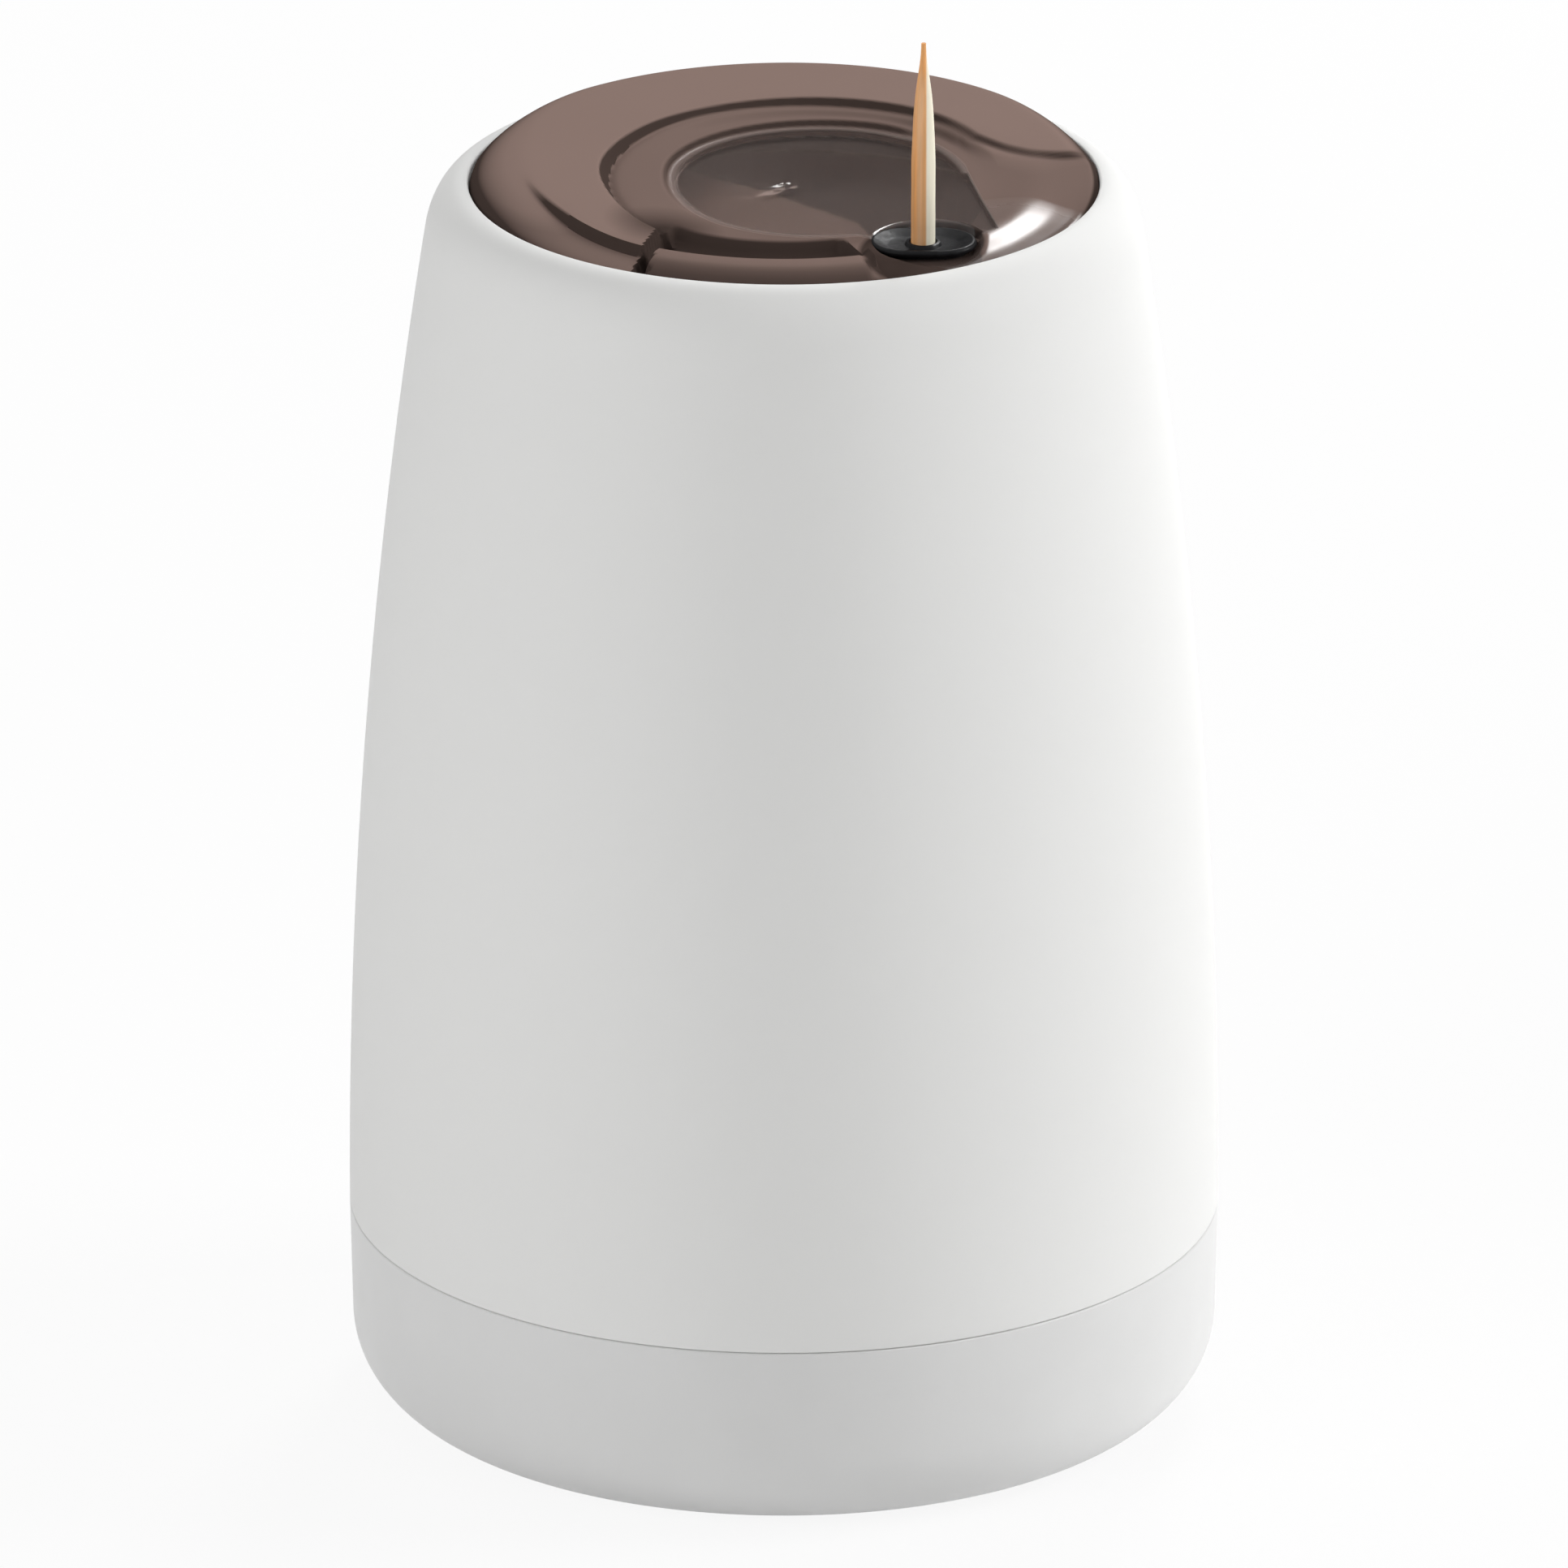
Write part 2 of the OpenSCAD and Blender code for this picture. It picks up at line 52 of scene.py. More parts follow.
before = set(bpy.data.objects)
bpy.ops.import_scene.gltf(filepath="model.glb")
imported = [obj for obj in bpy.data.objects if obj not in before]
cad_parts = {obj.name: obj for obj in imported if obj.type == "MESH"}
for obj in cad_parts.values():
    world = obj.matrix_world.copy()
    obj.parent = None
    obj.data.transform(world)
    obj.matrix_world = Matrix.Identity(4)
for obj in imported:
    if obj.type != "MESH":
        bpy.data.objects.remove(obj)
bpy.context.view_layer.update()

MM = 0.001
# Edges that turn by more than this stay crisp
SHARP_ANGLE = math.radians(38)
# Segments of a full turn, on the large and on the small round pieces
ROUND_SEGMENTS = 256
SMALL_SEGMENTS = 96
# A ring with a smaller radius than this is a single point
POLE = 1e-6
# The holder's upright axis, in plan
AXIS = (0.0, 0.0)


def node_mm(node):
    """Lowest and highest corner of a CAD node at rest, in millimetres."""
    low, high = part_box(node)
    return [c / MM for c in low], [c / MM for c in high]


def rim_height():
    """Height of the frame's white rim, over which the lid's heights are measured."""
    return node_mm("outer_shell")[1][2]


# ---- curves and heights, in millimetres ----


def smooth(start, end, value):
    """0 up to start, 1 from end on, with an even ease between them."""
    share = min(max((value - start) / (end - start), 0.0), 1.0)
    return share * share * (3 - 2 * share)


def mix(a, b, share):
    """The value that lies a share of the way from a to b."""
    return a + (b - a) * share


def through(points, x):
    """Height at x of a smooth curve through the points, level beyond the first and the last."""
    if x <= points[0][0]:
        return points[0][1]
    if x >= points[-1][0]:
        return points[-1][1]
    k = next(i for i in range(len(points) - 1) if x < points[i + 1][0])
    (x0, y0), (x1, y1) = points[k], points[k + 1]

    def slope(i):
        if i == 0 or i == len(points) - 1:
            return 0.0
        before, after = points[i - 1], points[i + 1]
        return (after[1] - before[1]) / (after[0] - before[0])

    width = x1 - x0
    t = (x - x0) / width
    return (
        y0 * (1 + 2 * t) * (1 - t) ** 2
        + slope(k) * width * t * (1 - t) ** 2
        + y1 * t * t * (3 - 2 * t)
        + slope(k + 1) * width * t * t * (t - 1)
    )


def full_turn(segments, start=0.0):
    """Evenly spaced angles round a full turn, in radians, from a share of one segment on."""
    return [2 * math.pi * (i + start) / segments for i in range(segments)]


def on_circle(centre, radius, turn):
    """The point at an angle in radians round a centre."""
    return centre[0] + radius * math.cos(turn), centre[1] + radius * math.sin(turn)


def arc(centre, radius, start, end, steps):
    """Points along an arc, from one angle to another in degrees."""
    turns = [math.radians(mix(start, end, i / steps)) for i in range(steps + 1)]
    return [on_circle(centre, radius, t) for t in turns]


def ring(radius, height, segments, centre=AXIS):
    """One level ring of points, or a single point where the radius is nothing."""
    if radius < POLE:
        return [(centre[0], centre[1], height)]
    return [(*on_circle(centre, radius, t), height) for t in full_turn(segments)]


# ---- meshes ----


def stack(rings, closed=False):
    """Points and faces of a skin over rings that run anticlockwise up the outside."""
    points, numbers = [], []
    for one in rings:
        numbers.append(list(range(len(points), len(points) + len(one))))
        points += one
    pairs = list(zip(numbers, numbers[1:]))
    if closed:
        pairs.append((numbers[-1], numbers[0]))
    faces = []
    for low, high in pairs:
        count = max(len(low), len(high))
        for i in range(count):
            j = (i + 1) % count
            corners = [
                low[i % len(low)],
                low[j % len(low)],
                high[j % len(high)],
                high[i % len(high)],
            ]
            faces.append(list(dict.fromkeys(corners)))
    return points, faces


def lathe(outline, segments=ROUND_SEGMENTS, centre=AXIS, closed=True):
    """An outline of (radius, height) points turned round an upright axis."""
    return stack([ring(r, z, segments, centre) for r, z in outline], closed)


def join(*shells):
    """Several closed skins as the points and faces of one mesh."""
    points, faces = [], []
    for more_points, more_faces in shells:
        start = len(points)
        points += more_points
        faces += [[start + i for i in face] for face in more_faces]
    return points, faces


def crisp(mesh):
    """Shades a mesh evenly but for its crisp moulded edges."""
    mesh.shade_smooth()
    mesh.set_sharp_from_angle(angle=SHARP_ANGLE)


def make_mesh(name, skin):
    """A mesh in metres from points in millimetres, with its faces turned outward."""
    points, faces = skin
    mesh = bpy.data.meshes.new(name)
    mesh.from_pydata([[c * MM for c in p] for p in points], [], faces)
    work = bmesh.new()
    work.from_mesh(mesh)
    bmesh.ops.recalc_face_normals(work, faces=work.faces)
    work.to_mesh(mesh)
    work.free()
    crisp(mesh)
    return mesh


def new_object(name, data):
    """A mesh, lamp or camera as a new object in the scene."""
    made = bpy.data.objects.new(name, data)
    bpy.context.scene.collection.objects.link(made)
    return made


def add_piece(name, skin, finish, body, slot, *nodes):
    """A moulded piece that rides on a body and stands for its CAD nodes."""
    piece = new_object(name, make_mesh(name, skin))
    piece.data.materials.append(finish)
    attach(piece, body)
    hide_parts(*nodes)
    return piece


def dress_node(node, finish):
    """Gives a carried-over CAD node its finish."""
    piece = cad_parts[node]
    piece.data.materials.clear()
    piece.data.materials.append(finish)


def cut(piece, skin):
    """Cuts a closed skin out of a piece and keeps the result as its mesh."""
    cutter = new_object("cutter", make_mesh("cutter", skin))
    step = piece.modifiers.new("cut", "BOOLEAN")
    step.operation = "DIFFERENCE"
    step.solver = "EXACT"
    step.object = cutter
    bpy.context.view_layer.update()
    graph = bpy.context.evaluated_depsgraph_get()
    result = bpy.data.meshes.new_from_object(piece.evaluated_get(graph))
    piece.modifiers.clear()
    if len(result.polygons) < len(piece.data.polygons) // 2:
        raise RuntimeError(f"the cut in {piece.name} failed")
    piece.data = result
    bpy.data.objects.remove(cutter)


# ---- finishes ----


def fill(tree, socket, value):
    """Gives a socket a value or another node's output."""
    if isinstance(value, bpy.types.NodeSocket):
        tree.links.new(value, socket)
    else:
        socket.default_value = value


def add_node(tree, kind, inputs=None, **settings):
    """A shader node with its settings and with what its sockets are given."""
    made = tree.nodes.new(kind)
    for key, value in settings.items():
        setattr(made, key, value)
    for socket, value in (inputs or {}).items():
        fill(tree, made.inputs[socket], value)
    return made


class Finish:
    """A Principled material with a few procedural layers, in object space."""

    def __init__(self, name, colour, roughness, **sockets):
        self.material = bpy.data.materials.new(name)
        self.material.use_nodes = True
        self.tree = self.material.node_tree
        self.shader = self.tree.nodes["Principled BSDF"]
        where = self.node("ShaderNodeTexCoord")
        self.place, self.facing = where.outputs["Object"], where.outputs["Normal"]
        sockets.update(Base_Color=tuple(colour), Roughness=roughness)
        for socket, value in sockets.items():
            self.give(socket.replace("_", " "), value)

    def node(self, kind, inputs=None, **settings):
        """A node in this material."""
        return add_node(self.tree, kind, inputs, **settings)

    def give(self, socket, value):
        """Gives one of the shader's sockets a value or an output."""
        fill(self.tree, self.shader.inputs[socket], value)

    def grain(self, size_mm, detail=3.0, stretch=(1.0, 1.0, 1.0)):
        """Noise whose features are about size_mm wide."""
        place = self.node("ShaderNodeMapping", {"Vector": self.place, "Scale": stretch})
        inputs = {"Vector": place.outputs["Vector"], "Scale": 1 / (size_mm * MM), "Detail": detail}
        return self.node("ShaderNodeTexNoise", inputs).outputs["Fac"]

    def ranged(self, value, low, high, start=0.3, end=0.7):
        """Low up to one value and high past another: by default the range that noise fills."""
        limits = {"From Min": start, "From Max": end, "To Min": low, "To Max": high}
        return self.node("ShaderNodeMapRange", {"Value": value, **limits}).outputs["Result"]

    def blend(self, share, first, second):
        """Colour between first and second, each a colour or an output."""
        step = self.node("ShaderNodeMix", {"Factor": share}, data_type="RGBA")
        colour_sockets = [s for s in step.inputs if s.type == "RGBA"]
        for socket, colour in zip(colour_sockets, (first, second)):
            fill(self.tree, socket, colour)
        return next(s for s in step.outputs if s.type == "RGBA")

    def mottled(self, grain, colour, darker, lighter):
        """A colour that noise spreads between a darker and a lighter shade."""
        return self.blend(self.ranged(grain, 0, 1), shade(colour, darker), shade(colour, lighter))

    def bump(self, height, depth_mm):
        """Raises the surface along a height by up to that depth."""
        inputs = {"Strength": 1.0, "Distance": depth_mm * MM, "Height": height}
        self.give("Normal", self.node("ShaderNodeBump", inputs).outputs["Normal"])

    def past(self, centre_mm, start_mm, end_mm, width=1.0):
        """0 up to one distance round a point and 1 past another, in ovals of that width."""
        shift = (-centre_mm[0] * MM / width, -centre_mm[1] * MM, 0)
        inputs = {0: self.place, 1: (1 / width, 1, 0), 2: shift}
        out = self.node("ShaderNodeVectorMath", inputs, operation="MULTIPLY_ADD").outputs["Vector"]
        size = self.node("ShaderNodeVectorMath", {0: out}, operation="LENGTH")
        return self.ranged(size.outputs["Value"], 0, 1, start_mm * MM, end_mm * MM)

    def joined(self, operation, first, second):
        """Two values put together: their ADD, MINIMUM or MAXIMUM."""
        step = self.node("ShaderNodeMath", {0: first, 1: second}, operation=operation)
        return step.outputs["Value"]

    def level_share(self, steep, level):
        """0 on steep places and 1 on level ones, by the upward part of the surface's normal."""
        split = self.node("ShaderNodeSeparateXYZ", {"Vector": self.facing})
        size = self.node("ShaderNodeMath", {0: split.outputs["Z"]}, operation="ABSOLUTE")
        return self.ranged(size.outputs["Value"], 0, 1, steep, level)

    def line_share(self, turn, start_mm, end_mm):
        """0 before one place and 1 past another, along a direction in plan."""
        inputs = {0: self.place, 1: (*on_circle(AXIS, 1, math.radians(turn)), 0)}
        along = self.node("ShaderNodeVectorMath", inputs, operation="DOT_PRODUCT")
        return self.ranged(along.outputs["Value"], 0, 1, start_mm * MM, end_mm * MM)

    def axis_share(self, axis, low_mm, high_mm):
        """0 before one place along an axis and 1 past another."""
        split = self.node("ShaderNodeSeparateXYZ", {"Vector": self.place})
        return self.ranged(split.outputs[axis], 0, 1, low_mm * MM, high_mm * MM)

    def height_share(self, low_mm, high_mm):
        """0 below one height above the table and 1 above another."""
        return self.axis_share("Z", low_mm, high_mm)


def shade(colour, factor):
    """A colour made lighter or darker."""
    return tuple(min(c * factor, 1.0) for c in colour[:3]) + (1.0,)


# The hopper's deck lies this far under the top of its collar, and painted shade darkens the plastic
# between these heights over the deck
DECK_COLLAR, HOPPER_SHADE = 2.0, (-0.25, -0.05)
# The toothpick gets a painted highlight down its right side, between these distances right of its
# middle
LIT_SIDE = (0.15, 0.3)


def moulded_plastic(name, colour, roughness, texture_mm=0.35, depth_mm=0.004):
    """Satin moulded plastic: a fine spark-eroded texture and a faint cloudiness."""
    f = Finish(name, colour, roughness, Specular_IOR_Level=0.3)
    f.give("Base Color", f.mottled(f.grain(size_mm=9.0), colour, darker=0.985, lighter=1.01))
    f.give("Roughness", f.ranged(f.grain(size_mm=3.0), roughness - 0.04, roughness + 0.05))
    f.bump(f.grain(texture_mm, detail=4.0), depth_mm)
    return f.material


def hopper_shaded_plastic(looks):
    """The works' plastic on top of the deck, and painted shade in a dark brown down the hopper."""
    deck = node_mm("hopper_insert")[1][2] - DECK_COLLAR
    f = Finish("hopper_shaded_plastic", looks.inner, roughness=0.5)
    top = f.height_share(*[deck + h for h in HOPPER_SHADE])
    # Painted shade: dark brown below the deck
    f.give("Base Color", f.blend(top, looks.hopper, looks.inner))
    f.give("Roughness", f.ranged(f.grain(size_mm=3.0), low=0.45, high=0.55))
    f.bump(f.grain(size_mm=0.5, detail=4.0), depth_mm=0.006)
    return f.material


def smoky_plastic(sizes, looks):
    """Clear brown plastic in the dish that turns satin on the band, the ridge and the edge."""
    f = Finish("smoky_plastic", looks.smoke, looks.smoke_roughness, IOR=looks.smoke_ior)
    rim = rim_height()
    # dark is the painted shade: a darker copy of the satin brown, laid on steep places, round the
    # outlet, where the band meets the slit and along the edge
    dark = shade(looks.satin, looks.painted_shade_tone)
    past_dish = f.past(DISH_CENTRE, *[sizes.dish + out for out in CLEAR_EDGE])
    satin = f.joined("MINIMUM", past_dish, f.past(CLEAR_SIDE, *CLEAR_SIDE_EDGE))
    satin = f.joined("MAXIMUM", satin, f.line_share(*CLEAR_LINE))
    raised = f.past(SWIRL_CENTRE, *[sizes.swirl + out for out in RIDGE_EDGE])
    raised = f.joined("MINIMUM", raised, f.height_share(*[rim + h for h in RIDGE_LIGHT_HEIGHT]))
    # Painted shade in an oval round the outlet's recess, below the rim
    outlet = f.past(SHADE_CENTRE, *SHADE_EDGE, width=SHADE_WIDTH)
    outlet = f.joined("MINIMUM", f.height_share(*[rim + h for h in SHADE_HEIGHT]), outlet)
    # The painted shade where the band meets the slit joins the one round the outlet
    outside_shade = f.joined("MINIMUM", outlet, f.past(*CORNER_SHADE))
    rim_shade_line = f.past(AXIS, *RIM_SHADE_LINE)
    # Painted light: the raised ridge gets a lighter copy of the satin brown
    brown = f.blend(raised, looks.satin, shade(looks.satin, looks.painted_ridge_light))
    tone = f.blend(satin, looks.smoke, f.blend(outside_shade, dark, brown))
    # Painted shade along the lid's edge
    tone = f.blend(rim_shade_line, tone, dark)
    # Painted shade on steep places
    f.give("Base Color", f.blend(f.level_share(*STEEP_SHADE_LEVEL), dark, tone))
    f.give("Transmission Weight", f.ranged(satin, looks.smoke_clear, looks.satin_clear, 0, 1))
    matt = f.joined("MAXIMUM", f.past(POLISH_CENTRE, *POLISH_REACH), rim_shade_line)
    f.give("Specular IOR Level", f.ranged(matt, looks.polish, looks.satin_polish, 0, 1))
    blur = f.joined(
        "MINIMUM",
        f.ranged(satin, looks.smoke_roughness, looks.ridge_roughness, 0, 1),
        f.ranged(matt, looks.polish_roughness, looks.ridge_roughness, 0, 1),
    )
    f.give("Roughness", f.joined("ADD", blur, f.ranged(f.grain(size_mm=2.2), low=0.0, high=0.04)))
    f.bump(f.grain(size_mm=7.0, detail=1.0), depth_mm=0.03)
    return f.material


def black_rubber(looks):
    """Matt black rubber with a fine grain."""
    f = Finish("black_rubber", looks.rubber, roughness=0.38, Specular_IOR_Level=0.08)
    f.give("Base Color", f.mottled(f.grain(size_mm=0.8), looks.rubber, darker=0.7, lighter=1.5))
    f.give("Roughness", f.ranged(f.grain(size_mm=0.5), low=0.3, high=0.5))
    f.bump(f.grain(size_mm=0.25, detail=4.0), depth_mm=0.01)
    return f.material


def grip_silicone(looks):
    """Grey silicone with a fine grain."""
    f = Finish("grip_silicone", looks.silicone, roughness=0.62)
    f.give("Base Color", f.mottled(f.grain(size_mm=2.0), looks.silicone, darker=0.95, lighter=1.04))
    f.bump(f.grain(size_mm=0.2, detail=4.0), depth_mm=0.01)
    return f.material


def drawn_steel(looks):
    """Bright zinc-plated steel with fine drawing marks along the axis."""
    f = Finish("drawn_steel", looks.steel, roughness=0.28, Metallic=1.0)
    marks = f.grain(size_mm=0.5, detail=4.0, stretch=(1.0, 1.0, 0.15))
    f.give("Base Color", f.mottled(marks, looks.steel, darker=0.85, lighter=1.06))
    f.give("Roughness", f.ranged(f.grain(size_mm=1.5), low=0.2, high=0.38))
    f.bump(marks, depth_mm=0.004)
    return f.material


def birch_wood(looks):
    """Pale honey wood with long fibres, paler streaks of the outer wood and a painted highlight
    down its right side.
    """
    f = Finish("birch_wood", looks.birch, roughness=0.58)
    fibres = f.grain(size_mm=0.35, detail=5.0, stretch=(1.0, 1.0, 0.045))
    streaks = f.grain(size_mm=1.3, detail=2.0, stretch=(1.0, 1.0, 0.05))
    light_fibres = f.ranged(fibres, low=0, high=1, start=0.35, end=0.68)
    tone = f.blend(light_fibres, shade(looks.birch, 0.8), looks.birch)
    tone = f.blend(f.ranged(streaks, low=0, high=0.25, start=0.45, end=0.7), tone, looks.sapwood_and_highlight)
    # Painted highlight: the wood turns to the pale tone down its right side, where the light falls
    painted_lit_side = f.axis_share("X", *[outlet_place()[0] + out for out in LIT_SIDE])
    f.give("Base Color", f.blend(painted_lit_side, tone, looks.sapwood_and_highlight))
    f.give("Roughness", f.ranged(fibres, low=0.5, high=0.7))
    f.bump(fibres, depth_mm=0.03)
    return f.material


# ---- what a user would change ----


def length(name, default, description):
    """A length in millimetres."""
    return bpy.props.FloatProperty(name=name, default=default, description=description, min=0.0)


def tint(name, default, description):
    """A colour."""
    return bpy.props.FloatVectorProperty(
        name=name,
        default=(*default, 1.0),
        size=4,
        min=0.0,
        max=1.0,
        subtype="COLOR",
        description=description,
    )


def number(name, default, description):
    """A share or a factor."""
    return bpy.props.FloatProperty(
        name=name, default=default, description=description, subtype="FACTOR", min=0.0
    )


class BodySizes(bpy.types.PropertyGroup):
    taper: length("Taper", 7.3, "How much the side draws in from the seam to the rim")
    lip: length("Lip height", 5.5, "Height of the rounded lip")
    lip_width: length("Lip width", 3.35, "Width of the rounded lip")
    lip_rise: length("Lip rise", 0.45, "How far the lip stands over the rim of the frame's shell")
    mouth: length("Mouth radius", 25.55, "Radius of the mouth that the lid sinks into")
    mouth_round: length("Mouth edge", 0.2, "Radius of the mouth's rounded edge")
    wall: length("Wall", 2.2, "Wall of the shell")
    seam_gap: length("Seam gap", 0.2, "Gap between the base and the shell")
    seam_close: length("Seam closing", 0.07, "How far each edge reaches into that gap")
    seam_round: length("Seam edge", 0.16, "Rounding of both edges along the seam")
    fillet: length("Bottom radius", 7.0, "Rounding at the bottom edge")
    draft: length("Base draft", 0.2, "How much the base draws in under the seam")
    floor: length("Base floor", 3.0, "Thickness of the base's floor")
    spigot_wall: length("Spigot wall", 2.0, "Wall of the spigot that the shell is pushed over")
    foot_inner: length("Foot ring radius", 21.5, "Inner radius of the anti-slip ring")
    foot_width: length("Foot ring width", 5.0, "Width of the anti-slip ring")
    foot_sunk: length("Foot ring seat", 1.2, "How deep the anti-slip ring sits in the base")


class LidSizes(bpy.types.PropertyGroup):
    radius: length("Radius", 25.45, "Radius of the lid's edge")
    ridge: length("Ridge", 2.4, "Height of the ridge above the white rim")
    band: length("Band", 2.0, "Height of the band inside the ridge, at the back")
    dish_step: length("Dish edge", 1.5, "Height of the finger dish's edge, at the back")
    dish_line: length("Dish step", 0.5, "Height of the small step round the finger dish")
    swirl: length("Swirl radius", 16.4, "Radius of the ridge's inner edge")
    dish: length("Dish radius", 13.0, "Radius of the finger dish")
    groove: length("Groove", 0.15, "Depth of the fine groove along the ridge")
    pocket: length("Outlet pocket", 0.85, "Depth of the outlet's pocket under the rim")
    edge: length("Edge", 1.7, "How far the lid's edge reaches under the rim")
    spigot: length("Spigot", 3.4, "How far the lid's spigot reaches under the rim")
    wall: length("Wall", 1.2, "Thickness of the lid inside its spigot")


class ToothpickSizes(bpy.types.PropertyGroup):
    point: length("Point", 9.5, "Length of each pointed end")
    tip: length("Tip radius", 0.2, "Radius at the very tip")
    belly: number("Belly", 0.72, "Radius halfway along a point, as a share of the full radius")


class Looks(bpy.types.PropertyGroup):
    white: tint("White", (0.80, 0.80, 0.795), "Outer plastic")
    inner: tint("Inner white", (0.74, 0.73, 0.71), "Plastic of the works inside")
    # Painted shade down the hopper, given as a dark brown
    hopper: tint("Hopper", (0.22, 0.145, 0.132), "Dark plastic down the hopper")
    smoke: tint("Smoke", (0.42, 0.335, 0.305), "Tint of the lid's clear dish")
    smoke_roughness: number("Dish roughness", 0.07, "How blurred the dish is")
    smoke_ior: number("Lid refraction", 1.28, "Refractive index of the lid")
    smoke_clear: number("Dish clearness", 0.92, "Share of the light that passes the dish's surface")
    satin: tint("Satin brown", (0.225, 0.159, 0.137), "Band, pull tab and edge of the lid")
    satin_clear: number("Satin clearness", 0.0, "Share of the light that passes the satin parts")
    polish: number("Polish", 0.62, "How strongly the polished place by the outlet mirrors light")
    polish_roughness: number("Polish roughness", 0.19, "How blurred the polished place is")
    satin_polish: number("Satin polish", 0.0, "How strongly the rest of the lid mirrors light")
    ridge_roughness: number("Ridge roughness", 0.31, "How blurred the ridge and the lid's edge are")
    # Painted light: how much lighter the raised ridge is painted
    painted_ridge_light: number("Ridge tone", 1.3, "How much lighter the raised ridge is")
    # Painted shade: how much darker than the satin brown the lid is painted on steep places, round
    # the outlet, by the slit and along its edge
    painted_shade_tone: number("Groove tone", 0.3, "How much darker the grooves are")
    rubber: tint("Rubber", (0.010, 0.010, 0.011), "Grommet round the outlet")
    silicone: tint("Silicone", (0.46, 0.46, 0.45), "Anti-slip ring")
    steel: tint("Steel", (0.62, 0.63, 0.64), "Screws, pin and spring")
    birch: tint("Birch", (1.0, 0.47, 0.16), "Wood of the toothpick")
    # The pale tone of the wood's streaks and of the painted highlight down the toothpick's right
    # side
    sapwood_and_highlight: tint("Sapwood", (1.0, 0.94, 0.76), "Paler side and streaks of the wood")


class HolderSettings(bpy.types.PropertyGroup):
    body: bpy.props.PointerProperty(type=BodySizes, name="Body", description="Shell and base")
    lid: bpy.props.PointerProperty(type=LidSizes, name="Lid", description="Smoky lid")
    pick: bpy.props.PointerProperty(type=ToothpickSizes, name="Toothpick", description="Toothpick")
    looks: bpy.props.PointerProperty(type=Looks, name="Looks", description="Colours and gloss")


def settings():
    return bpy.context.scene.toothpick_holder


# ---- the pieces ----

# The spring's wire, and the play between it and the base's tube inside it
WIRE, TUBE_PLAY = 1.2, 1.12
# The screws stand this far in from the sleeve's edge, at these turns
SCREW_INSET, SCREW_TURNS = 2.5, (30, 150, 270)


def base_skin(s):
    """The base cup as one turned skin, with its screw bosses and the tube for the spring."""
    low, high = node_mm("base_cup")
    wide, foot, top = high[0], low[2], high[2]
    edge = node_mm("outer_shell")[0][2] - s.seam_gap + s.seam_close
    floor = foot + s.floor
    spigot_out = wide - s.wall - s.seam_gap
    spigot_in = spigot_out - s.spigot_wall
    side = wide - s.draft - s.fillet
    chamfer, inner_round = 0.4, 4.0
    ring_in, ring_out = s.foot_inner, s.foot_inner + s.foot_width
    groove = foot + s.foot_sunk
    tube_out = node_mm("return_spring")[1][0] - WIRE - TUBE_PLAY
    tube_wall, tube_height = 2.0, 5.0
    tube_in, tube_top = tube_out - tube_wall, floor + tube_height
    outline = [(0, foot), (ring_in, foot), (ring_in, groove), (ring_out, groove), (ring_out, foot)]
    outline += arc((side, foot + s.fillet), s.fillet, -90, 0, steps=24)
    outline += arc((wide - s.seam_round, edge - s.seam_round), s.seam_round, 0, 90, steps=6)
    outline += [(spigot_out, edge), (spigot_out, top - chamfer), (spigot_out - chamfer, top)]
    outline += [(spigot_in + chamfer, top), (spigot_in, top - chamfer)]
    outline += arc((spigot_in - inner_round, floor + inner_round), inner_round, 0, -90, steps=12)
    outline += [(tube_out, floor), (tube_out, tube_top - chamfer), (tube_out - chamfer, tube_top)]
    outline += [(tube_in, tube_top), (tube_in, floor), (0, floor)]

    boss_out, boss_in, boss_chamfer = 3.05, 1.25, 0.3
    sleeve_low, sleeve_high = node_mm("guide_sleeve")
    boss_low, boss_top = node_mm("sleeve_screws")[0][2], sleeve_low[2]
    boss = [(boss_in, boss_low), (boss_out, boss_low), (boss_out, boss_top - boss_chamfer)]
    boss += [(boss_out - boss_chamfer, boss_top), (boss_in, boss_top)]
    circle = sleeve_high[0] - SCREW_INSET
    places = [on_circle(AXIS, circle, math.radians(turn)) for turn in SCREW_TURNS]
    bosses = [lathe(boss, SMALL_SEGMENTS, place) for place in places]
    return join(lathe(outline, closed=False), *bosses)


def foot_skin(s):
    """The anti-slip ring: three round beads on a flat band."""
    low, high = node_mm("foot_ring")
    inner = high[0] - s.foot_width
    beads, steps = 3, 12
    bead = s.foot_width / (2 * beads)
    bead_width, bead_height, edge = 0.92 * bead, 0.25, low[2] + 0.3
    outline = []
    for k in range(beads):
        middle = inner + bead * (2 * k + 1)
        outline += [
            (middle - bead_width * math.cos(t), low[2] + bead_height * (1 - math.sin(t)))
            for t in (math.pi * i / steps for i in range(steps + 1))
        ]
    outline += [(high[0], edge), (high[0], high[2]), (inner, high[2]), (inner, edge)]
    return lathe(outline)


class HOLDER_OT_base(bpy.types.Operator):
    """Base cup with its spigot, bosses and spring tube, and the anti-slip ring under it"""

    bl_idname = "holder.base"
    bl_label = "Base"

    def execute(self, context):
        s, looks = settings().body, settings().looks
        white = moulded_plastic("white_plastic", looks.white, roughness=0.42)
        grip = grip_silicone(looks)
        add_piece("base_skin", base_skin(s), white, "base", "white_plastic", "base_cup")
        add_piece("foot_bead_ring", foot_skin(s), grip, "base", "grip_silicone", "foot_ring")
        return {"FINISHED"}


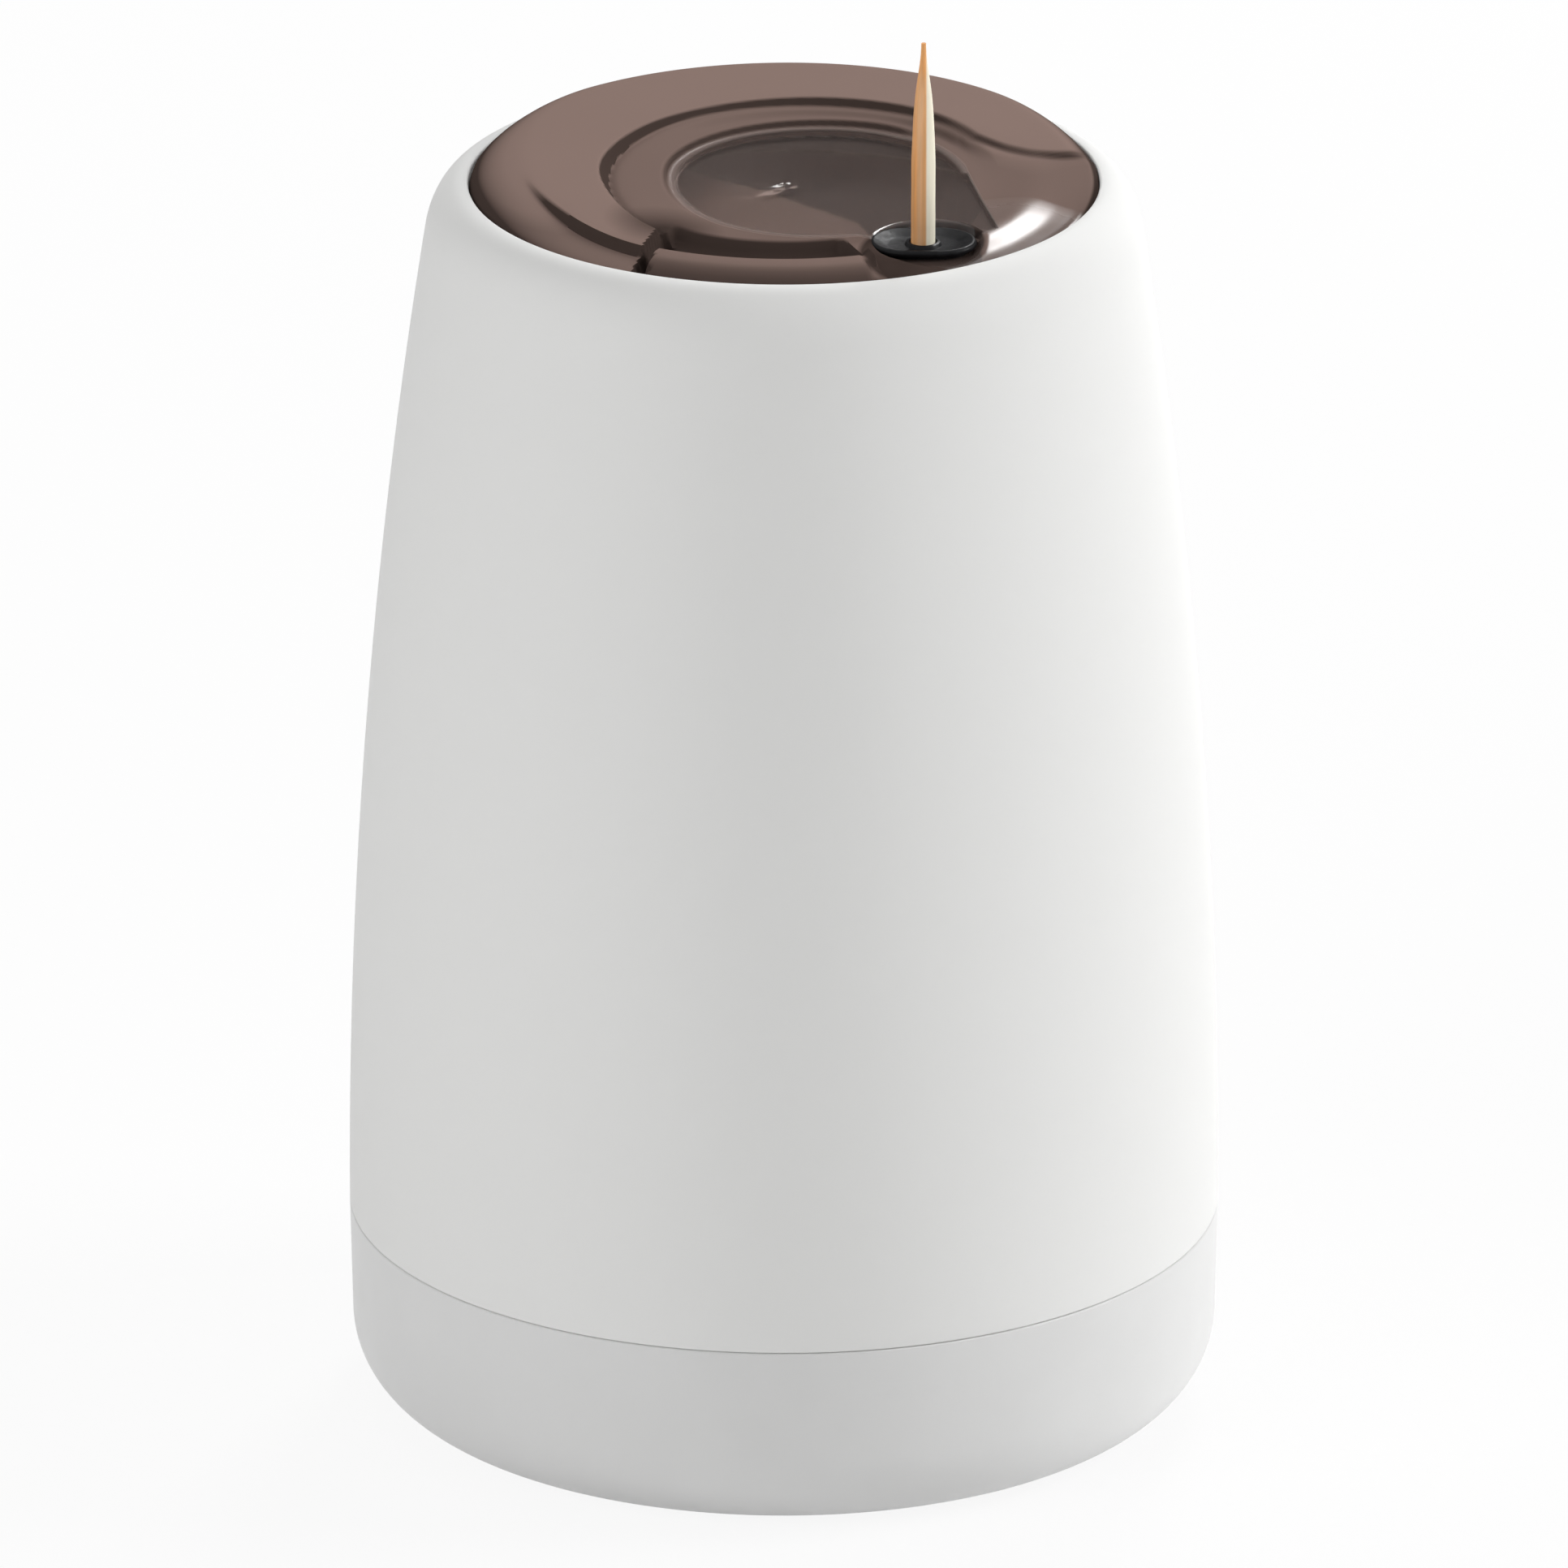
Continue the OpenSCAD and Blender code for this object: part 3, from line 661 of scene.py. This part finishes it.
class HOLDER_OT_works(bpy.types.Operator):
    """Finishes of the guide sleeve, pin holder, screws and lifter pin that the CAD frame holds"""

    bl_idname = "holder.works"
    bl_label = "Works"

    def execute(self, context):
        looks = settings().looks
        plastic = moulded_plastic(
            "works_plastic", looks.inner, roughness=0.5, texture_mm=0.5, depth_mm=0.006
        )
        steel = drawn_steel(looks)
        for node in ("guide_sleeve", "pin_holder", "toothpick_barrel"):
            dress_node(node, plastic)
        hopper = hopper_shaded_plastic(looks)
        for node in ("funnel_floor", "hopper_insert"):
            dress_node(node, hopper)
        for node in ("sleeve_screws", "pin_holder_screws", "lifter_pin"):
            dress_node(node, steel)
        return {"FINISHED"}


def spring_skin():
    """The return spring as one round wire with a close turn at each end."""
    low, high = node_mm("return_spring")
    half = WIRE / 2
    radius = high[0] - half
    turns, per_turn, sides = 7, 48, 14
    rise = high[2] - low[2] - WIRE
    close = 1.5 * WIRE
    open_pitch = (rise - 2 * close) / (turns - 2)

    def height(t):
        """How far the wire has risen after so many turns."""
        if t < 1:
            return t * close
        if t > turns - 1:
            return rise - (turns - t) * close
        return close + (t - 1) * open_pitch

    rings = []
    for i in range(turns * per_turn + 1):
        t = i / per_turn
        middle = low[2] + half + height(t)
        loop = []
        for side in full_turn(sides):
            place = on_circle(AXIS, radius + half * math.cos(side), 2 * math.pi * t)
            loop.append((*place, middle - half * math.sin(side)))
        rings.append(loop)
    ends = [tuple(sum(c) / sides for c in zip(*loop)) for loop in (rings[0], rings[-1])]
    return stack([[ends[0]], *rings, [ends[1]]])


class HOLDER_OT_spring(bpy.types.Operator):
    """Return spring under the barrel, made at its rest length; the real one shortens as the lid is
    pressed
    """

    bl_idname = "holder.spring"
    bl_label = "Return spring"

    def execute(self, context):
        steel = drawn_steel(settings().looks)
        piece = add_piece("spring_wire", spring_skin(), steel, "base", "steel", "return_spring")
        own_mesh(piece)
        return {"FINISHED"}


def shell_skin(s):
    """The white shell: a side that draws in more and more up to a round lip."""
    low, high = node_mm("outer_shell")
    wide, bottom, rim = high[0], low[2], high[2] + s.lip_rise
    seam = bottom - s.seam_gap / 2
    side_h = rim - seam

    def side(z):
        """Radius of the side at a height."""
        return wide - s.taper * ((z - seam) / side_h) ** 2

    # The lip is a quarter round, squeezed to its width, that goes on from the side's slope
    tilt = math.atan(2 * s.taper * (side_h - s.lip) / side_h**2 * s.lip / s.lip_width)
    lip_z = rim - s.lip
    shoulder = lip_z + s.lip * math.sin(tilt)
    lip_x = side(shoulder) - s.lip_width * math.cos(tilt)
    squeeze = s.lip_width / s.lip
    mouth_low = lip_z + s.lip - s.wall
    steps, inner_steps = 72, 12
    edge = bottom - s.seam_close
    start = edge + s.seam_round
    outline = arc((wide - s.seam_round, start), s.seam_round, -90, 0, steps=6)
    outline += [(side(z), z) for z in (mix(start, shoulder, i / steps) for i in range(1, steps))]
    lip = arc((0.0, lip_z), s.lip, math.degrees(tilt), 90, steps=28)
    outline += [(lip_x + x * squeeze, z) for x, z in lip]
    outline += arc((s.mouth + s.mouth_round, rim - s.mouth_round), s.mouth_round, 92, 178, steps=8)
    for i in range(inner_steps):
        share = i / inner_steps
        x = mix(s.mouth, side(lip_z) - s.wall, smooth(0, 1, share))
        outline.append((x, mix(mouth_low, lip_z, share)))
    for i in range(steps, -1, -1):
        z = mix(edge, lip_z, i / steps)
        outline.append((side(z) - s.wall, z))
    return lathe(outline)


class HOLDER_OT_shell(bpy.types.Operator):
    """White outer shell with its rounded lip"""

    bl_idname = "holder.shell"
    bl_label = "Shell"

    def execute(self, context):
        white = bpy.data.materials["white_plastic"]
        skin = shell_skin(settings().body)
        add_piece("shell_skin", skin, white, "shell", "white_plastic", "outer_shell")
        return {"FINISHED"}


# Places on the lid's top, in millimetres from the axis, and turns round it in degrees
SWIRL_CENTRE = (2.0, -1.9)
DISH_CENTRE = (3.0, -0.6)
# The dish's small step: its width, and where along X it fades out. The dish slopes over a width.
DISH_LINE_WIDTH, DISH_LINE_FADE = 0.8, (9, 13)
DISH_SLOPE_WIDTH = 12.5
# The slit: its two ends, its half width at each, and how far its sides slope
SLIT = ((-9.4, -13.2), (-11.95, -21.8))
SLIT_HALF, SLIT_SIDE = (0.5, 0.3), 0.2
# The tab starts at the slit's line past this turn, and each end of it eases in or out
FRONT_TURN, FRONT_EASE = 200, 0.3
TAB_END, TAB_EASE = 290.5, 3.5
# The outlet's pocket is an oval, and its side slopes between these shares of the oval's reach
POCKET_CENTRE = (11.6, -13.8)
POCKET_REACH, POCKET_SIDE = (4.6, 5.0), (0.78, 1.04)
# The ridge rounds off from its shoulder, which moves inward on the left between these turns
SHOULDER, LEFT_SHOULDER, SHOULDER_TURNS = 23.3, 20.0, (130, 190)
# On the left it drops by a step, between these turns and these distances from the axis
LEFT_STEP, LEFT_STEP_TURNS, LEFT_STEP_PLACE = 0.8, (185, 225), (20.9, 21.6)
# The ridge rises between these distances inside its edge, and starts between these turns
RIDGE_FOOT, RIDGE_START = (-0.6, 0.35), (2, 6)
# The fine groove's distance inside the ridge's edge, and its width
GROOVE_PLACE, GROOVE_WIDTH = 0.2, 0.45
# The lid is clear over the dish and in a round beside the outlet: it turns satin between these
# places past the dish's edge, at these distances from the round's middle ...
CLEAR_EDGE = (-1.5, -0.5)
CLEAR_SIDE, CLEAR_SIDE_EDGE = (11.0, -5.5), (8.0, 8.8)
# ... and past a straight line on the right: the line's turn, and the distances from the axis
CLEAR_LINE = (10.3, 14.85, 15.15)
# The lid gets painted shade in an oval round the outlet's recess, up to these heights over the rim
SHADE_CENTRE, SHADE_WIDTH, SHADE_EDGE = (11.0, -16.8), 0.72, (6.6, 7.3)
SHADE_HEIGHT = (-0.8, -0.15)
# Painted shade lies too where the band meets the slit: the place, and where the shade starts and
# stops fading
CORNER_SHADE = ((-9.6, -11.8), 0.5, 5.0)
# A thin line of painted shade starts between these distances from the axis, along the lid's edge
RIM_SHADE_LINE = (24.95, 25.15)
# Steep places get painted shade: the upward part of the normal where the painted shade starts and
# stops fading
STEEP_SHADE_LEVEL = (0.8, 0.98)
# The lid is more polished by the outlet: the middle, and where the polish starts and stops fading
POLISH_CENTRE, POLISH_REACH = (18.2, -12.3), (5.0, 8.5)
# The ridge's painted lighter tone, which stands in for the light it catches, starts between these
# distances past the swirl's edge, and between these heights over the rim
RIDGE_EDGE, RIDGE_LIGHT_HEIGHT = (-0.3, 0.3), (0.6, 1.2)

# The ridge's inner edge runs out to the rim on the right, from this x on: (x, y)
FLARE_START, FLARE_SLOPE = 9, 0.85
FLARE = [
    (14, 9.0), (15, 7.9), (17.6, 5.8), (18.9, 5.1), (20.2, 4.6), (22.2, 4.4), (23.6, 4.6),
    (24.8, 4.8),
]
# Ridge and band heights, as shares, round the lid: (turn in degrees, share)
RIDGE_SHARE = [(0, 0.42), (12, 0.53), (45, 1.0), (130, 1.0), (165, 0.9), (200, 0.86), (240, 0.39)]
BAND_SHARE = [
    (-71, 0.0), (-53, 0.03), (-42, 0.36), (-20, 0.42), (0, 0.41), (10.5, 0.46), (19, 0.62),
    (25, 0.76), (35, 0.94), (50, 1.0), (120, 1.0), (165, 0.74), (200, 0.5), (235, 0.1), (241, 0.0),
]
STEP_SHARE = [
    (-71, 0.0), (-45, 0.05), (0, 0.2), (20, 0.5), (45, 0.9), (60, 1.0), (160, 0.9), (200, 0.55),
    (235, 0.1), (289, 0.0),
]
GROOVE_SHARE = [(6, 0.0), (14, 0.7), (45, 1.0), (205, 1.0), (238, 0.8), (241, 0.0)]
# Front: the nail groove and the pull tab behind it: (distance from the axis, height)
FRONT = [
    (13.5, 0.0), (14.0, -0.3), (14.6, -0.85), (15.6, -1.2), (19.2, -1.3), (19.85, 0.3),
    (20.3, 0.75), (20.9, 0.78), (21.9, 0.62), (22.7, 0.25), (23.8, -0.45), (25.45, -1.5),
]
# Right: the lid rolls off to its edge: (distance from the axis, fall), (turn, share of the fall)
ROLL_OFF = [(19.5, 0.0), (20.8, -0.12), (22.4, -0.52), (24.2, -0.74), (25.0, -0.84), (25.45, -1.4)]
ROLL_SHARE = [(-71, 1.0), (-18, 1.0), (-2, 0.45), (12, 0.3)]


def lid_turn(x, y):
    """Angle round the lid in degrees, from -71 at the tab's right end to 289."""
    turn = math.degrees(math.atan2(y, x)) % 360
    return turn - 360 if turn > TAB_END else turn


def slit_place(x, y):
    """Distance to the slit, how far along it the nearest place is, and how far right of it."""
    (ax, ay), (bx, by) = SLIT
    dx, dy = bx - ax, by - ay
    size = math.hypot(dx, dy)
    right = ((y - ay) * dx - (x - ax) * dy) / size
    along = max(((x - ax) * dx + (y - ay) * dy) / size**2, 0.0)
    return math.hypot(x - ax - along * dx, y - ay - along * dy), min(along, 1.0), right


def lid_top(x, y, s):
    """Height of the lid's top over the white rim, in millimetres."""
    rho, turn = math.hypot(x, y), lid_turn(x, y)
    distance, along, right = slit_place(x, y)
    front = 0.0
    if turn > FRONT_TURN:
        front = smooth(-FRONT_EASE, FRONT_EASE, right)
        front *= 1 - smooth(TAB_END - TAB_EASE, TAB_END, turn)

    inside = s.swirl - math.hypot(x - SWIRL_CENTRE[0], y - SWIRL_CENTRE[1])
    if x > FLARE_START:
        inside = max(inside, FLARE_SLOPE * (through(FLARE, x) - y))
    past_dish = math.hypot(x - DISH_CENTRE[0], y - DISH_CENTRE[1]) - s.dish
    step = s.dish_step * through(STEP_SHARE, turn)
    band = s.band * through(BAND_SHARE, turn)
    if past_dish > 0:
        off_ridge = max(inside, 0.0)
        low = mix(band, step, smooth(0, 1, off_ridge / (off_ridge + past_dish)))
    else:
        sharp = s.dish_line * step / s.dish_step * (1 - smooth(*DISH_LINE_FADE, x))
        low = sharp * (1 - smooth(0, DISH_LINE_WIDTH, -past_dish))
        low += (step - sharp) * (1 - smooth(0, DISH_SLOPE_WIDTH, -past_dish))
    low += front * through(FRONT, rho)
    low += (1 - front) * through(ROLL_OFF, rho) * through(ROLL_SHARE, turn)

    shoulder = mix(SHOULDER, LEFT_SHOULDER, smooth(*SHOULDER_TURNS, turn))
    fall = min(max((rho - shoulder) / (s.radius - shoulder), 0.0), 1.0)
    ridge = s.ridge * through(RIDGE_SHARE, turn) * math.sqrt(1 - fall * fall)
    ridge -= LEFT_STEP * smooth(*LEFT_STEP_TURNS, turn) * smooth(*LEFT_STEP_PLACE, rho)
    on_ridge = (1 - smooth(*RIDGE_FOOT, inside)) * (1 - front) * smooth(*RIDGE_START, turn)
    height = mix(low, ridge, on_ridge)
    off_groove = (inside - GROOVE_PLACE) / GROOVE_WIDTH
    height -= s.groove * through(GROOVE_SHARE, turn) * math.exp(-(off_groove**2))

    half = mix(*SLIT_HALF, along)
    height = mix(height, -s.edge, 1 - smooth(half - SLIT_SIDE, half + SLIT_SIDE, distance))

    reach = math.hypot(
        (x - POCKET_CENTRE[0]) / POCKET_REACH[0], (y - POCKET_CENTRE[1]) / POCKET_REACH[1]
    )
    return mix(height, -s.pocket, 1 - smooth(*POCKET_SIDE, reach))


def lid_skin(s):
    """The whole lid on a fine round grid: underside out, edge up, top back in."""
    segments, top_rings, under_rings = 480, 118, 40
    rim = rim_height()
    edge, edge_chamfer = s.radius, 0.1
    spigot_out, spigot_in, chamfer = 22.7, 21.4, 0.2

    def loop(rho, wall):
        """A ring at a distance from the axis, so far under the lid's top."""
        places = ring(rho, rim, segments)
        return [(x, y, rim + (lid_top(x, y, s) - wall)) for x, y, _ in places]

    sides = [
        (spigot_in, s.spigot), (spigot_out - chamfer, s.spigot), (spigot_out, s.spigot - chamfer),
        (spigot_out, s.edge), (edge - edge_chamfer, s.edge), (edge, s.edge - edge_chamfer),
    ]
    rings = [loop(spigot_in * i / under_rings, s.wall) for i in range(under_rings + 1)]
    rings += [ring(rho, rim - depth, segments) for rho, depth in sides]
    rings += [loop(edge * i / top_rings, 0.0) for i in range(top_rings, -1, -1)]
    return stack(rings)


def oval_ring(centre, reach, radius, height, segments):
    """A level ring round an oval whose long side lies along X."""
    points = []
    for t in full_turn(segments, start=0.5):
        side = reach if math.cos(t) > 0 else -reach
        points.append((*on_circle((centre[0] + side, centre[1]), radius, t), height))
    return points


def outlet_place():
    """Middle of the outlet, in millimetres."""
    low, high = node_mm("toothpick")
    return ((low[0] + high[0]) / 2, (low[1] + high[1]) / 2)


# The grommet's beads stand this far out from its waist, for which the lid's hole leaves this play
GROMMET_BEAD, GROMMET_PLAY = 0.6, 0.02


def grommet_oval(out, height):
    """A level ring that lies so far outside the grommet's waist."""
    low, high = node_mm("outlet_grommet")
    radius = (high[1] - low[1]) / 2 - GROMMET_BEAD
    reach = (high[0] - low[0]) / 2 - GROMMET_BEAD - radius
    return oval_ring(outlet_place(), reach, radius + out, height, SMALL_SEGMENTS)


def grommet_skin():
    """The rubber plug: a bead above and below the lid and a sunk face round the hole."""
    low, high = node_mm("outlet_grommet")
    bottom, top = low[2], high[2]
    hole, bead_round = 1.05, 0.3
    bead = GROMMET_BEAD - bead_round
    # Inside the upper bead the face sinks, and a collar stands round the hole: (outward, depth)
    face = [(-0.5, 0.35), (-0.9, 0.42)]
    collar = [(0.45, 0.42), (0.3, 0.2), (0.1, 0.15), (0.0, 0.3)]
    # The hole widens at the bottom: (outward, height)
    lead_in = [(0.0, 0.1), (0.2, 0.0)]

    def circle(out, height):
        return oval_ring(outlet_place(), 0.0, hole + out, height, SMALL_SEGMENTS)

    ovals = [(bead, bottom)]
    ovals += arc((bead, bottom + bead_round), bead_round, -90, 90, steps=8)
    ovals += [(0.0, bottom + 2 * GROMMET_BEAD), (0.0, top - GROMMET_BEAD)]
    ovals += arc((bead, top - bead_round), bead_round, -90, 100, steps=10)
    ovals += [(out, top - depth) for out, depth in face]
    rings = [circle(out, bottom + height) for out, height in lead_in]
    rings += [grommet_oval(*place) for place in ovals]
    rings += [circle(out, top - depth) for out, depth in collar]
    return stack(rings, closed=True)


class HOLDER_OT_lid(bpy.types.Operator):
    """Smoky lid: ridge, finger dish, pull tab with its nail groove, slit and outlet pocket"""

    bl_idname = "holder.lid"
    bl_label = "Lid"

    def execute(self, context):
        s, looks = settings().lid, settings().looks
        smoke = smoky_plastic(s, looks)
        piece = add_piece("lid_skin", lid_skin(s), smoke, "lid", "smoke_plastic", "press_lid")
        low, high = node_mm("outlet_grommet")
        over = 5
        ends = (low[2] - over, high[2] + over)
        sides = [grommet_oval(GROMMET_PLAY, z) for z in ends]
        caps = [[(*outlet_place(), z)] for z in ends]
        cut(piece, stack([caps[0], *sides, caps[1]]))
        crisp(piece.data)
        return {"FINISHED"}


class HOLDER_OT_grommet(bpy.types.Operator):
    """Black rubber grommet that grips the toothpick"""

    bl_idname = "holder.grommet"
    bl_label = "Grommet"

    def execute(self, context):
        rubber = black_rubber(settings().looks)
        add_piece("grommet_skin", grommet_skin(), rubber, "lid", "black_rubber", "outlet_grommet")
        return {"FINISHED"}


# The wood's unevenness, coarse and fine: how fast it changes round the wood and along it, and
# its share; then how much thinner the wood is for it, and how strong it is
WOBBLES = ((1.3, 0.12, 1.0), (3.1, 0.5, 0.5))
THINNER, WOBBLE = 0.02, 0.035


def toothpick_skin(s):
    """A turned toothpick whose side and points are not quite even."""
    low, high = node_mm("toothpick")
    full = (high[0] - low[0]) / 2
    tall = high[2] - low[2]
    centre = outlet_place()
    shoulder, shoulder_reach = 0.985, 3
    rise = [(0.0, s.tip), (s.point / 2, full * s.belly), (s.point, full * shoulder)]
    rise.append((s.point + shoulder_reach, full))
    segments, steps = 40, 150
    rings = [[(*centre, low[2])]]
    for i in range(steps + 1):
        z = tall * i / steps
        end = min(z, tall - z)
        loop = []
        for t in full_turn(segments):
            wobble = sum(
                share * noise.noise(Vector((*on_circle(AXIS, around, t), z * along)))
                for around, along, share in WOBBLES
            )
            r = min(through(rise, end) * (1 - THINNER + WOBBLE * wobble), full)
            loop.append((*on_circle(centre, r, t), low[2] + z))
        rings.append(loop)
    rings.append([(*centre, high[2])])
    return stack(rings)


class HOLDER_OT_toothpick(bpy.types.Operator):
    """The toothpick that stands in the outlet"""

    bl_idname = "holder.toothpick"
    bl_label = "Toothpick"

    def execute(self, context):
        wood = birch_wood(settings().looks)
        skin = toothpick_skin(settings().pick)
        add_piece("toothpick_wood", skin, wood, "pick", "birch_wood", "toothpick")
        return {"FINISHED"}


# ---- the stage ----

CAMERA_ELEVATION = 20.5
CAMERA_DISTANCE = 1.8
CAMERA_LENS = 505.8
# Heights above the floor at which the camera and the lamps are aimed
CAMERA_TARGET, LAMP_TARGET = 0.0526, 0.07
# The floor's half width, its tone, and how much white it shows of itself
FLOOR_REACH, FLOOR_TONE, FLOOR_GLOW = 12.0, 0.9, 0.9
# The card's tone, half width, lower and upper edge, and distance behind the object
CARD_TONE, CARD_WIDE, CARD_LOW, CARD_HIGH, CARD_BEHIND = 0.12, 1.6, 0.12, 1.3, 1.3
# Strength of the grey light from the camera's side and from behind the object
FRONT_LIGHT, BACK_LIGHT = 0.12, 0.18


def softbox(name, turn, elevation, distance, size, power):
    """An area lamp at a turn round the object (0 is the camera's side, 90 the right)."""
    lamp = bpy.data.lights.new(name, "AREA")
    lamp.shape = "RECTANGLE"
    lamp.size, lamp.size_y = size
    lamp.energy = power
    holder = new_object(name, lamp)
    a, e = math.radians(turn), math.radians(elevation)
    away = Vector((math.sin(a) * math.cos(e), -math.cos(a) * math.cos(e), math.sin(e)))
    holder.location = away * distance + Vector((0, 0, LAMP_TARGET))
    holder.rotation_euler = away.to_track_quat("Z", "Y").to_euler()


def flat_piece(name, corners, material):
    """A flat piece of the stage between four corners, in metres."""
    mesh = bpy.data.meshes.new(name)
    mesh.from_pydata(corners, [], [(0, 1, 2, 3)])
    mesh.materials.append(material)
    return new_object(name, mesh)


def seen_directly(tree):
    """1 for rays that the camera, a mirror or clear plastic sends, otherwise 0."""
    path = tree.nodes.new("ShaderNodeLightPath")
    share = path.outputs["Is Camera Ray"]
    for ray in ("Is Glossy Ray", "Is Transmission Ray"):
        inputs = {0: share, 1: path.outputs[ray]}
        share = add_node(tree, "ShaderNodeMath", inputs, operation="MAXIMUM").outputs["Value"]
    return share


def floor_finish():
    """A pale floor that keeps a soft shadow and shows almost white."""
    tone = (FLOOR_TONE, FLOOR_TONE, FLOOR_TONE, 1)
    f = Finish("pale_floor", tone, roughness=0.9, Specular_IOR_Level=0.0)
    glow = f.node("ShaderNodeEmission").outputs["Emission"]
    inputs = {0: seen_directly(f.tree), 1: FLOOR_GLOW}
    share = f.node("ShaderNodeMath", inputs, operation="MULTIPLY").outputs["Value"]
    inputs = {"Fac": share, 1: f.shader.outputs["BSDF"], 2: glow}
    both = f.node("ShaderNodeMixShader", inputs).outputs["Shader"]
    fill(f.tree, f.tree.nodes["Material Output"].inputs["Surface"], both)
    return f.material


def studio_world():
    """Soft grey light all round, which shows as white behind the object."""
    world = bpy.context.scene.world or bpy.data.worlds.new("studio")
    bpy.context.scene.world = world
    world.use_nodes = True
    tree = world.node_tree
    tree.nodes.clear()
    place = add_node(tree, "ShaderNodeTexCoord").outputs["Generated"]
    split = add_node(tree, "ShaderNodeSeparateXYZ", {"Vector": place})
    limits = {"From Min": -1.0, "To Min": FRONT_LIGHT, "To Max": BACK_LIGHT}
    step = add_node(tree, "ShaderNodeMapRange", {"Value": split.outputs["Y"], **limits})
    light, seen = [
        add_node(tree, "ShaderNodeBackground", {"Color": (1, 1, 1, 1), "Strength": strength})
        for strength in (step.outputs["Result"], 1.0)
    ]
    inputs = {"Fac": seen_directly(tree), 1: light.outputs[0], 2: seen.outputs[0]}
    both = add_node(tree, "ShaderNodeMixShader", inputs)
    add_node(tree, "ShaderNodeOutputWorld", {"Surface": both.outputs["Shader"]})


def mirrored_card():
    """A dark card behind the object, which only mirror-like surfaces see."""
    finish = Finish("dark_card", (CARD_TONE, CARD_TONE, CARD_TONE, 1), roughness=1.0)
    low = [(x, CARD_BEHIND, CARD_LOW) for x in (-CARD_WIDE, CARD_WIDE)]
    high = [(x, CARD_BEHIND, CARD_HIGH) for x in (CARD_WIDE, -CARD_WIDE)]
    card = flat_piece("dark_card", low + high, finish.material)
    card.visible_camera = False
    card.visible_diffuse = False
    card.visible_transmission = False
    card.visible_shadow = False


class HOLDER_OT_stage(bpy.types.Operator):
    """Pale floor, soft studio light and the camera"""

    bl_idname = "holder.stage"
    bl_label = "Stage"

    def execute(self, context):
        r = FLOOR_REACH
        corners = [(-r, -r, 0), (r, -r, 0), (r, r, 0), (-r, r, 0)]
        floor = flat_piece("studio_floor", corners, floor_finish())

        # Turn and elevation in degrees, distance, size and power
        softbox("left_fill", -45, 22, 1.5, (0.9, 0.9), 8.6)
        softbox("right_key", 92, 22, 1.5, (0.6, 1.0), 15.0)
        softbox("back_right_lamp", 164, 35, 1.1, (0.28, 0.3), 4.2)
        softbox("top_light", 180, 78, 1.6, (1.8, 1.8), 6.5)
        mirrored_card()
        studio_world()

        camera = bpy.data.cameras.new("camera")
        camera.lens = CAMERA_LENS
        camera.sensor_width = 36.0
        camera.clip_end = 100.0
        holder = new_object("camera", camera)
        e = math.radians(CAMERA_ELEVATION)
        holder.location = (
            0,
            -CAMERA_DISTANCE * math.cos(e),
            CAMERA_TARGET + CAMERA_DISTANCE * math.sin(e),
        )
        holder.rotation_euler = (math.pi / 2 - e, 0, 0)
        context.scene.camera = holder
        context.scene.view_settings.view_transform = "Standard"
        return {"FINISHED"}


class HOLDER_PT_panel(bpy.types.Panel):
    """Lists the holder's pieces and sizes in the sidebar"""

    bl_label = "Toothpick Holder"
    bl_space_type = "VIEW_3D"
    bl_region_type = "UI"
    bl_category = "Toothpick Holder"

    def draw(self, context):
        column = self.layout.column(align=True)
        for operator in OPERATORS:
            column.operator(operator.bl_idname)
        for group in (settings().body, settings().lid, settings().pick, settings().looks):
            box = self.layout.box()
            for key in group.__annotations__:
                box.prop(group, key)


GROUPS = (BodySizes, LidSizes, ToothpickSizes, Looks, HolderSettings)
OPERATORS = (
    HOLDER_OT_base,
    HOLDER_OT_works,
    HOLDER_OT_spring,
    HOLDER_OT_shell,
    HOLDER_OT_lid,
    HOLDER_OT_grommet,
    HOLDER_OT_toothpick,
    HOLDER_OT_stage,
)


def register():
    for cls in (*GROUPS, *OPERATORS, HOLDER_PT_panel):
        bpy.utils.register_class(cls)
    bpy.types.Scene.toothpick_holder = bpy.props.PointerProperty(type=HolderSettings)


def unregister():
    del bpy.types.Scene.toothpick_holder
    for cls in reversed((*GROUPS, *OPERATORS, HOLDER_PT_panel)):
        bpy.utils.unregister_class(cls)


def main():
    register()
    bpy.ops.holder.base()
    bpy.ops.holder.works()
    bpy.ops.holder.spring()
    bpy.ops.holder.shell()
    bpy.ops.holder.lid()
    bpy.ops.holder.grommet()
    bpy.ops.holder.toothpick()
    bpy.ops.holder.stage()


if __name__ == "__main__":
    main()
